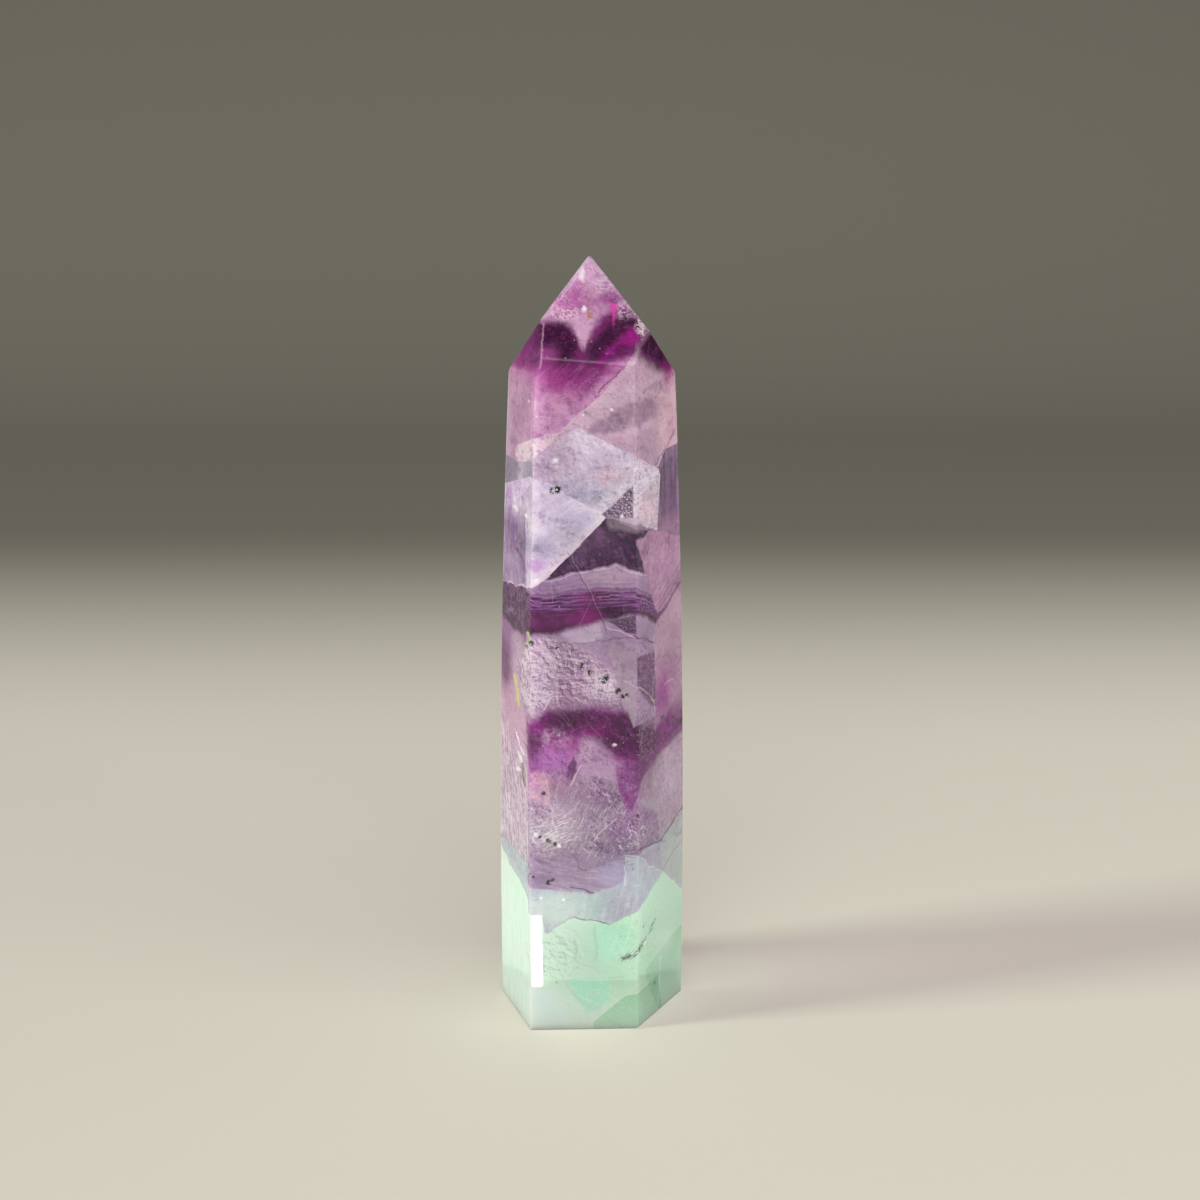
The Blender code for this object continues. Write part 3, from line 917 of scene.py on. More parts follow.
def paint_bands(c, look):
    """The thick dark band, the thin growth lines over it and the dark zone under the veils."""
    left = c.left_face()
    low = [
        (-11.4, 49.6), (-8.9, 48.3), (-6.2, 49.2), (-3.5, 49.2), (-1.4, 50.1), (0.5, 50.6), (2.1, 50.6),
        (4.2, 51.2), (5.0, 51.3), (7.3, 49.3), (9.0, 51.3), (11.4, 54.3),
    ]
    c.zone(low, 0.35, look.plum)
    c.lay(c.above(low, 0.4) * c.mottle(1.2, 0.53, 0.08, 4.0, 0.6) * 0.4, look.violet)
    c.spots(1.0, (
        (-0.9, 51.1, 1.6, 0.9, 0.9, 0.6, look.magenta),
        (-4.6, 50.6, 3.0, 1.1, 0.7, 0.45, look.orchid_deep),
    ))
    top = [
        (-11.4, 53.0), (-6.2, 51.6), (-3.8, 51.7), (-1.4, 52.2), (0.3, 52.3), (2.0, 52.3), (4.8, 52.3),
        (6.5, 51.0), (7.5, 50.0), (9.0, 51.9), (11.4, 55.0),
    ]
    c.zone(top, 0.3, look.mauve_deep)
    c.lay(c.above(lift(top, 1.7), 0.5), look.heather)
    c.lay(c.above(lift(top, 2.6), 0.3) * c.oval(2.2, 55.6, 2.6, 1.0, 0.5) * 0.8, look.frost_lilac)
    breaks = c.mottle(2.2, 0.47, 0.12, 2.0, 0.5)
    c.lay(c.above(lift(top, 0.1), 0.1) * c.below(lift(top, 1.9), 0.5) * 0.6, look.violet)
    for level, half, soft, share in (
        (0.45, 0.10, 0.2, 0.7), (0.95, 0.04, 0.1, 0.8), (1.45, 0.16, 0.2, 0.95), (2.0, 0.03, 0.1, 0.7),
        (2.5, 0.02, 0.12, 0.5), (3.0, 0.06, 0.3, 0.25),
    ):
        c.lay(c.along(lift(top, level), half, soft) * share, look.plum)
    for level, share in ((0.75, 0.45), (1.16, 0.8), (1.72, 0.6)):
        c.lay(c.along(lift(top, level), 0.03, 0.08) * breaks * share, look.blush)
    strands = c.fibres(3, 5.0, 0.22, 0.54, 0.06)
    c.lay(
        c.above(lift(top, -0.4), 0.4) * c.below(lift(top, 2.0), 0.5) * strands * 0.45, look.orchid_light
    )
    c.lay(c.oval(-0.4, 53.0, 1.5, 0.8, 0.9) * 0.35, look.magenta)
    first = [
        (-11.4, 55.2), (-4.6, 55.6), (-2.0, 56.4), (-0.9, 56.4), (2.7, 57.3), (6.2, 55.7), (8.6, 58.0),
        (11.4, 61),
    ]
    c.zone(lift(first, -0.1), 0.07, look.dusk)
    c.lay(c.along(first[:6], 0.16, 0.16), look.plum)
    c.lay(c.along(lift(first[:6], -0.42), 0.05, 0.08) * 0.75, look.frost)
    dark = c.above(first, 0.1)
    c.spots(dark, (
        (3.2, 58.8, 2.2, 1.4, 0.7, 0.75, look.indigo),
        (-2.6, 57.9, 2.0, 1.3, 0.6, 0.85, look.indigo),
    ))
    c.lay(dark * c.mottle(1.1, 0.54, 0.08, 5.0, 0.6) * 0.35, look.mauve)
    c.folds(dark, 0.7, look.violet, look.mauve, 0.6)
    c.lay(dark * c.oval(-0.4, 59.6, 3.4, 1.4, 0.7) * 0.35, look.mauve)
    # the darker left side
    side = left * c.above([(-12, 49.4), (-7, 48.6)], 0.8)
    c.lay(side * 0.9, look.mauve_deep)
    c.lay(side * c.mottle(0.67, 0.52, 0.08, 4.0, 0.6) * 0.5, look.plum)
    c.lay(side * c.above([(-12, 52.0), (-7, 52.6)], 1.0) * 0.5, look.purple_grey)
    c.crinkle(side, 0.7, look.heather, look.plum, 0.5, 2.2, -75.0)
    # the pink right side with its rising stripes
    pink = c.area([(4.9, 59.6), (6.7, 60.3), (12, 58.0), (12, 50.4), (7.4, 50.4)], 0.15)
    pink = pink * c.above([(-12, 49), (7.5, 50.0), (9.2, 51.7), (12, 55.4)], 0.3)
    c.lay(pink, look.rose)
    c.lay(pink * c.fibres(52, 8.0, 0.6, 0.54, 0.1) * 0.35, look.mauve)
    c.lay(pink * c.fibres(52, 8.0, 0.3, 0.58, 0.06) * 0.4, look.pearl)
    for rise in (0.0, 0.7, 1.3, 2.1):
        stripe = c.path(lift([(7.4, 49.9), (9.2, 51.7), (11.4, 54.5)], rise), 0.07, 0.22)
        c.lay(stripe * (0.8 - 0.2 * rise), look.mauve_deep)
    c.lay(c.area([(7.6, 49.4), (12, 54.2), (12, 44.0), (7.2, 46.6)], 0.4) * 0.9, look.blush_grey)
    grain = c.facet([(1.9, 50.5), (4.9, 51.2), (4.95, 49.0), (3.9, 49.2)], 0.12)
    c.lay(grain * 0.8, look.dusk)
    c.crinkle(grain, 0.4, look.heather, look.plum, 0.6)
    c.lay(c.path([(1.6, 49.9), (3.9, 49.1), (4.9, 48.6)], 0.04, 0.08) * 0.7, look.cream)
    c.lay(c.facet([(5.0, 51.0), (7.2, 49.2), (7.2, 47.4), (5.05, 48.7)], 0.12) * 0.85, look.heather)


def paint_veils(c, look):
    """The two bright cleavage veils, with their crisp outlines, and the dark column beside them. The veils'
    brightness is partly their own whitish colour and partly painted reflection of light off the cleavage
    planes.
    """
    c.zone([(-11.4, 60.5), (-2.0, 63.0), (1.6, 62.2), (6.7, 60.2), (11.4, 57.6)], 0.15, look.dusk_clear)
    column = c.area([(7.0, 67.5), (8.0, 68.9), (12, 69.2), (12, 57.5), (7.4, 59.9)], 0.1)
    c.lay(column, look.indigo_grey)
    c.lay(column * c.fibres(88, 5.0, 0.5, 0.5, 0.1) * 0.6, look.heather)
    c.spots(column, (
        (8.9, 62.4, 0.8, 3.0, 0.7, 0.5, look.mauve),
        (10.6, 64.0, 0.7, 5.0, 0.6, 0.6, look.heather),
        (8.6, 59.6, 2.6, 1.3, 0.7, 0.6, look.rose),
    ))
    # upper veil
    upper = c.facet([
        (-8.0, 67.4), (-6.4, 68.7), (-4.4, 70.2), (-1.6, 72.2), (4.6, 69.1), (7.4, 66.8), (7.6, 66.1),
        (7.3, 60.0), (-8.6, 60.0),
    ], 0.05)
    upper = upper * c.above([(-12, 62.0), (1.7, 62.2), (5.4, 61.2), (7.3, 60.0), (12, 60.0)], 0.12)
    c.lay(upper, look.veil_grey)
    c.spots(upper, (
        (-4.4, 68.2, 3.4, 2.8, 0.6, 0.6, look.blush_grey),
        (3.4, 68.2, 2.8, 2.2, 0.6, 0.7, look.frost),
        (-0.4, 70.4, 2.4, 1.4, 0.6, 0.6, look.frost),
        (-1.6, 65.0, 2.4, 1.5, 0.8, 0.7, look.slate),
        (0.6, 66.4, 1.8, 2.2, 0.8, 0.5, look.slate),
        (-5.6, 66.6, 1.6, 1.2, 0.7, 0.4, look.dusk_clear),
    ))
    c.lay(upper * c.mottle(1.8, 0.52, 0.12, 5.0, 0.65) * 0.3, look.slate)
    c.lay(upper * c.mottle(1.1, 0.53, 0.1, 5.0, 0.65) * 0.5, look.frost)
    c.lay(
        upper * c.oval(1.5, 66.9, 1.7, 1.1, 0.7) * c.mottle(0.5, 0.52, 0.06, 3.0, 0.6) * 0.8, look.peach
    )
    c.crinkle(upper, 0.8, look.white, look.slate, 0.3)
    strip = c.facet([(4.5, 69.1), (7.4, 66.8), (7.6, 66.1), (7.3, 60.0), (4.5, 62.0)], 0.06)
    c.lay(strip, look.frost)
    c.lay(strip * c.mottle(1.2, 0.5, 0.1, 4.0, 0.6) * 0.4, look.veil_grey)
    c.crinkle(strip, 0.5, look.white, look.mauve, 0.5)
    c.lay(strip * c.oval(6.2, 62.6, 1.2, 1.8, 0.7) * 0.4, look.peach_pale)
    rainbow = c.facet([(1.0, 62.6), (4.45, 65.8), (4.5, 62.2), (1.7, 62.1)], 0.1)
    c.lay(rainbow, look.wedge_dark)
    c.crinkle(rainbow, 0.4, look.frost, look.dusk, 0.6)
    c.lay(c.path([(0.9, 62.6), (4.45, 65.9)], 0.12, 0.12) * 0.7, look.frost)
    c.lay(
        c.area([(1.6, 62.5), (4.2, 62.3), (5.6, 61.3), (5.6, 60.4), (1.9, 60.9)], 0.3) * 0.5,
        look.wedge_grey,
    )
    grey = c.area([(-10.6, 68.0), (-6.5, 68.6), (-6.4, 66.6), (-10.6, 64.0)], 0.1)
    c.lay(grey * 0.85, look.sea_grey)
    c.lay(grey * c.oval(-7.8, 66.9, 0.5, 1.5, 0.6) * 0.6, look.frost)
    # lower veil
    lower = c.facet([
        (-10.9, 63.6), (-9.8, 64.5), (-6.7, 66.7), (-4.7, 66.1), (1.5, 62.2), (-1.0, 59.6), (-4.7, 55.8),
        (-6.0, 54.7), (-10.9, 52.7),
    ], 0.05)
    c.lay(lower, look.veil)
    c.lay(lower * c.mottle(2.0, 0.5, 0.14, 5.0, 0.62) * 0.5, look.veil_blue)
    c.spots(lower, (
        (-6.4, 58.8, 1.8, 1.2, 0.7, 0.6, look.slate),
        (-1.2, 61.9, 1.8, 0.9, 0.7, 0.55, look.veil_blue),
        (-7.6, 62.6, 1.4, 2.2, 0.6, 0.5, look.frost),
    ))
    c.lay(lower * c.fibres(38, 3.6, 0.4, 0.56, 0.1) * 0.35, look.white)
    c.lay(lower * c.path([(-9.5, 64.2), (-9.1, 61.0), (-8.7, 57.9)], 0.2, 0.5) * 0.7, look.orchid_light)
    c.lay(lower * c.fibres(-82, 6.0, 0.4, 0.53, 0.1) * c.window(-12, -6.9, 0.5) * 0.45, look.orchid_light)
    c.lay(lower * c.path([(-8.3, 57.8), (-7.3, 55.8)], 0.12, 0.3) * 0.8, look.orchid)
    c.lay(lower * c.oval(-6.2, 57.0, 1.3, 0.6, 0.6) * 0.55, look.orchid_light)
    c.crinkle(lower, 0.7, look.white, look.veil_blue, 0.4, 1.8, 35.0)
    c.tint(lower * c.left_face() * c.below([(-12, 60.5), (-7, 62.0)], 2.0) * 0.8, look.shade)
    margin = c.path([(1.4, 62.3), (-1.0, 59.8), (-4.7, 56.0), (-6.2, 54.7)], 0.25, 1.0)
    c.lay(lower * margin * 0.75, look.cream)
    c.lines(1.0, (
        ([(-4.7, 66.0), (1.5, 62.15), (-1.0, 59.6), (-4.7, 55.8), (-6.0, 54.7), (-9.5, 53.3)],
         0.05, 0.1, 0.8, look.white),
        ([(-10.4, 64.0), (-8.9, 64.4), (-6.5, 65.8), (-4.7, 65.2)], 0.03, 0.08, 0.5, look.frost),
    ))


def paint_shoulder(c, look):
    """Between the veils and the tip: smoky clear stone, grey planes and the pink left side."""
    edge = [
        (-11.4, 68.0), (-9.6, 67.9), (-8.0, 67.6), (-6.4, 68.8), (-4.4, 70.2), (-1.6, 72.2), (2.6, 70.0),
        (4.6, 69.1), (7.3, 66.9), (8.2, 68.8), (11.4, 69.4),
    ]
    over = c.above(edge, 0.05, crisp=True)
    c.lay(over, look.smoke)
    c.lay(over * c.above([(-12, 72.5), (12, 73.0)], 3.0) * c.window(2.0, 12, 2.0) * 0.3, look.blush_grey)
    c.lay(
        c.area([
            (-0.4, 71.7), (1.9, 73.6), (3.9, 74.7), (6.4, 74.8), (8.6, 73.4), (6.4, 72.6), (1.4, 71.3),
        ], 0.35) * 0.75,
        look.grey_plum,
    )
    c.lay(
        c.area([(-0.6, 71.6), (0.9, 73.0), (2.2, 73.4), (3.4, 72.2), (1.4, 71.2)], 0.4) * 0.5,
        look.dusk_clear,
    )
    c.lay(c.area([(5.7, 76.1), (8.6, 76.9), (8.7, 74.7)], 0.3) * 0.6, look.grey_plum)
    c.lay(over * c.area([(0.9, 71.0), (6.9, 71.7), (9.0, 70.5), (7.2, 67.0)], 0.5) * 0.4, look.grey_plum)
    c.spots(over, (
        (3.0, 75.6, 2.4, 1.0, 0.7, 0.4, look.pearl),
        (9.2, 72.4, 2.2, 4.2, 0.5, 0.8, look.peach_pale),
    ))
    c.lines(1.0, (
        ([(4.8, 76.4), (9.3, 73.1)], 0.05, 0.12, 0.6, look.rose),
        ([(7.0, 67.4), (9.4, 70.6)], 0.05, 0.08, 0.7, look.dusk),
    ))
    c.lay(over * c.fibres(70, 6.0, 0.6, 0.54, 0.1) * 0.25, look.pearl)
    c.crinkle(over, 0.8, look.pearl, look.grey_plum, 0.3)
    # the pink side, left of the long slanting crack
    bound = [
        (-11.4, 67.9), (-8.4, 67.7), (-6.4, 69.3), (-4.3, 70.9), (-1.8, 73.2), (0.8, 75.4), (3.6, 78.7),
        (4.5, 80.0), (5.0, 84.0), (11.4, 84.0),
    ]
    pink = c.above(bound, 0.05, crisp=True)
    c.lay(pink, look.blush)
    c.lay(pink * c.window(-12, -6.5, 0.1) * 0.7, look.blush_grey)
    c.lay(
        pink * c.above([
            (-12, 79.5), (-6.5, 76.8), (-4.5, 75.8), (-1.5, 75.0), (1.5, 75.8), (4.0, 78.5), (12, 79),
        ], 2.4) * 0.95,
        look.orchid_warm,
    )
    c.lay(
        pink * c.above([
            (-12, 82.0), (-6.4, 79.6), (-3.8, 78.0), (-1.0, 76.4), (0.5, 77.2), (3.8, 80), (12, 80),
        ], 1.8) * 0.85,
        look.purple_red,
    )
    c.lay(pink * c.fibres(44, 7.0, 0.8, 0.54, 0.12) * c.window(-6.0, 4.5, 0.4) * 0.3, look.blush)
    c.lay(pink * c.mottle(1.6, 0.54, 0.1, 5.0, 0.6) * c.window(-6.5, 4.5, 0.4) * 0.35, look.orchid)
    c.lay(pink * c.oval(-3.2, 77.0, 1.6, 1.2, 0.8) * 0.5, look.magenta)
    c.lines(1.0, (
        ([(4.3, 80.4), (1.0, 78.6)], 0.1, 0.4, 0.6, look.plum),
        ([(2.9, 80.2), (-1.0, 75.6)], 0.1, 0.5, 0.4, look.plum),
    ))
    c.lay(pink * c.path([(3.6, 79.4), (0.4, 75.8)], 0.15, 0.5) * 0.5, look.blush)
    c.lay(c.path([(3.6, 78.75), (0.8, 75.8)], 0.06, 0.14) * 0.8, look.purple_red)
    c.folds(pink, 1.0, look.mauve, look.blush, 0.5, 3.0, 42.0)
    c.crinkle(
        pink * c.below([(-12, 76), (-6, 74), (4, 80), (12, 80)], 3.0),
        0.6,
        look.blush_pale,
        look.orchid_warm,
        0.3,
        1.6,
        40.0,
    )
    c.lay(c.path(bound[1:7], 0.03, 0.07) * 0.55, look.cream)
    c.lay(pink * c.oval(-9.6, 70.6, 0.6, 5.0, 0.6) * 0.6, look.pearl)
    cream = c.facet([
        (-3.7, 71.6), (-5.0, 71.4), (-6.5, 70.8), (-8.2, 69.5), (-8.6, 68.5), (-8.2, 67.8), (-7.3, 68.0),
        (-4.4, 70.4),
    ], 0.12)
    c.lay(cream * 0.7, look.cream)
    c.crinkle(cream, 0.6, look.white, look.rose, 0.5)


def paint_tip(c, look):
    """The tip: two dark lobes under a pale pink point."""
    base = [
        (-12, 78.2), (-9.2, 78.0), (-6.2, 78.2), (-5.4, 79.0), (-4.1, 79.2), (0.8, 78.7), (4.2, 79.7),
        (4.6, 79.8), (8.5, 77.4), (12, 75.5),
    ]
    over = c.above(base, 0.5)
    c.lay(over * c.window(-12, 4.6, 0.3), look.orchid_deep)
    c.lay(over * c.window(-12, -5.6, 0.1) * 0.5, look.orchid_warm)
    c.lay(
        c.area([
            (-6.4, 83.2), (-4.7, 83.4), (-3.3, 83.2), (-1.7, 82.2), (-1.2, 80.8), (-1.6, 79.4),
            (-3.2, 78.9), (-6.2, 79.0),
        ], 0.9),
        look.plum,
    )
    c.lay(
        c.area([
            (-0.9, 80.1), (0.8, 82.0), (1.8, 83.2), (3.9, 84.2), (6.4, 82.4), (5.2, 80.8), (2.5, 79.7),
            (0.5, 78.8), (-0.8, 78.9),
        ], 0.7),
        look.plum,
    )
    c.lay(c.path([(0.6, 79.0), (2.6, 80.6), (4.8, 82.0)], 0.2, 0.7) * 0.75, look.magenta)
    c.spots(1.0, (
        (4.4, 81.4, 1.1, 0.8, 0.7, 0.7, look.magenta),
        (-4.8, 79.8, 1.2, 0.9, 0.7, 0.5, look.orchid_warm),
        (-7.2, 81.0, 1.4, 1.6, 0.7, 0.7, look.purple),
    ))
    c.lay(c.path([(-5.5, 78.4), (-5.2, 83.0)], 0.06, 0.12) * 0.55, look.blush)
    # the right shoulder facet, dark above and fading down its side
    dark = c.area([(4.5, 80.1), (6.4, 82.6), (12, 79.0), (12, 75.6), (8.5, 76.9), (6.9, 77.9)], 0.7)
    c.lay(dark * c.window(4.3, 12, 0.1), look.plum)
    c.lay(c.path([(5.2, 80.0), (8.4, 77.6)], 0.1, 0.4) * 0.4, look.orchid)
    c.spots(1.0, (
        (9.2, 77.0, 1.3, 1.6, 0.7, 0.7, look.magenta),
        (9.3, 74.4, 0.8, 2.8, 0.6, 0.8, look.peach_pale),
    ))
    # the pale point, which comes down between the lobes
    point = c.above([
        (-12, 83.8), (-5.2, 83.5), (-3.4, 83.5), (-1.9, 82.4), (-1.1, 80.6), (-0.7, 80.6), (-0.3, 82.2),
        (1.2, 83.8), (2.2, 84.6), (3.4, 84.9), (5.9, 82.8), (12, 83),
    ], 0.9)
    c.lay(point, look.blush)
    c.lay(c.path([(-1.1, 82.2), (-1.0, 79.8)], 0.3, 0.8) * 0.4, look.orchid_deep)
    c.lay(point * c.mottle(1.6, 0.5, 0.12, 5.0, 0.62) * 0.5, look.heather)
    c.lay(point * c.mottle(0.9, 0.55, 0.08, 5.0, 0.62) * 0.5, look.blush_pale)
    c.spots(point, (
        (-2.6, 84.6, 2.2, 1.5, 0.8, 0.75, look.orchid_warm),
        (-1.6, 86.0, 0.9, 1.4, 0.8, 0.5, look.orchid_warm),
        (1.0, 84.9, 1.4, 0.9, 0.7, 0.45, look.orchid_warm),
    ))
    c.lay(c.oval(2.3, 85.4, 1.1, 0.8, 0.7) * 0.7, look.orchid)
    c.crinkle(point, 0.6, look.blush_pale, look.orchid_warm, 0.45, 1.6, 35.0)
    c.folds(over, 0.9, look.orchid, look.mauve, 0.4, 3.0, 40.0)
    c.lay(point * c.veins(2.4, 0.012) * 0.7, look.white)
    c.lay(over * c.veins(3.0, 0.008) * 0.14, look.blush)
    # painted highlights on the chips along the tip's right edge
    c.lay(c.oval(3.6, 84.3, 1.3, 0.9, 0.6) * c.mottle(0.4, 0.5, 0.06, 4.0, 0.7) * 0.8, look.blush_pale)
    c.lay(c.oval(5.3, 82.4, 0.5, 0.8, 0.5) * c.mottle(0.38, 0.5, 0.06, 4.0, 0.7) * 0.8, look.cream)
    c.lay(c.area([(1.8, 84.8), (2.9, 84.8), (2.3, 83.0)], 0.3) * 0.8, look.hot_pink)
    c.lay(c.oval(-0.9, 82.4, 0.7, 1.2, 0.9) * 0.6, look.blush_pale)
    # painted highlight: a small white streak near the point
    c.lay(c.area([(-1.1, 88.6), (-0.7, 88.2), (-1.0, 87.1), (-1.5, 87.5)], 0.2) * 0.7, look.white)
    c.lay(c.oval(-3.0, 83.9, 1.6, 0.7, 0.6) * c.mottle(0.3, 0.5, 0.06, 4.0, 0.7) * 0.6, look.cream)
    streaks = [
        ((0.3, 87.3), (2.3, 87.2)), ((0.1, 86.9), (2.5, 86.8)), ((0.2, 86.4), (1.9, 86.5)),
        ((0.6, 85.9), (1.6, 86.2)), ((-2.2, 87.0), (-1.4, 88.0)), ((-3.6, 85.2), (-1.9, 87.2)),
    ]
    c.lay(c.paths(streaks, 0.03, 0.09) * 0.5 * c.front, look.white)
    c.lay(c.path([(0.1, 86.4), (-0.1, 85.4), (-0.5, 84.5)], 0.05, 0.07) * 0.7 * c.front, look.gold)


def paint_depth(c, look):
    """What the whole stone has: clouds, wisps and faint crinkles at different depths, whose folds get painted
    highlight and painted shade, and tiny white specks that are painted glints.
    """
    c.tint(c.mottle(3.4, 0.5, 0.16, 6.0, 0.62) * c.above([(-12, 19), (12, 21)], 1.5) * 0.3, look.shade)
    c.glow(c.mottle(2.4, 0.53, 0.14, 6.0, 0.62) * 0.5, look.shine)
    upper = c.above([(-12, 19), (12, 21)], 1.5)
    wisps = c.veins(2.8, 0.010, 4.0) * c.mottle(4.4, 0.5, 0.1, 2.0, 0.5)
    c.glow(wisps * 0.5, look.shine)
    c.folds(upper, 1.7, look.shine, look.shade, 0.45, 1.6, 35.0)
    c.folds(upper, 0.5, look.shine, look.shade, 0.16)
    c.lay(c.cracks(5.2, 0.05) * c.mottle(3.4, 0.54, 0.06, 2.0, 0.5) * 0.35, look.frost)
    # painted glints: tiny white specks all over the stone
    c.lay(c.specks(0.9, 0.07, 0.25) * 0.4, look.white)


def paint_back(c, look):
    """Marks of the back half: other veils and lines, so that no side repeats the front."""
    back = 1.0 - c.front
    for corners, share, colour in (
        ([(-9.6, 35.0), (-3.2, 42.4), (2.6, 38.2), (-1.4, 29.6)], 0.45, look.pearl),
        ([(1.6, 25.8), (4.4, 33.0), (10.8, 29.4), (9.6, 22.2)], 0.5, look.heather),
        ([(3.2, 45.6), (9.0, 52.4), (12, 50.2), (12, 41.8)], 0.6, look.veil_blue),
        ([(-12, 46.2), (-8.8, 50.8), (-3.4, 47.6), (-7.2, 42.0)], 0.5, look.orchid_light),
        ([(-2.0, 63.6), (5.2, 71.0), (8.8, 66.8), (3.6, 60.2)], 0.6, look.blush),
        ([(6.2, 55.6), (5.6, 69.0), (12, 73.6), (12, 59.6)], 0.75, look.heather),
        ([(4.0, 51.6), (5.4, 57.4), (12, 59.8), (12, 53.0)], 0.5, look.mauve),
    ):
        c.lay(back * c.facet(corners, 0.06) * share, colour)
    c.lay(back * c.veins(4.5, 0.008) * 0.5, look.cream)
    c.lay(
        back * c.mottle(3.0, 0.54, 0.06, 4.0, 0.6) * c.above([(-12, 24), (12, 22)], 2.0) * 0.35,
        look.pearl,
    )
    c.lay(back * c.veins(2.6, 0.006, 2.0) * 0.5, look.mauve_deep)


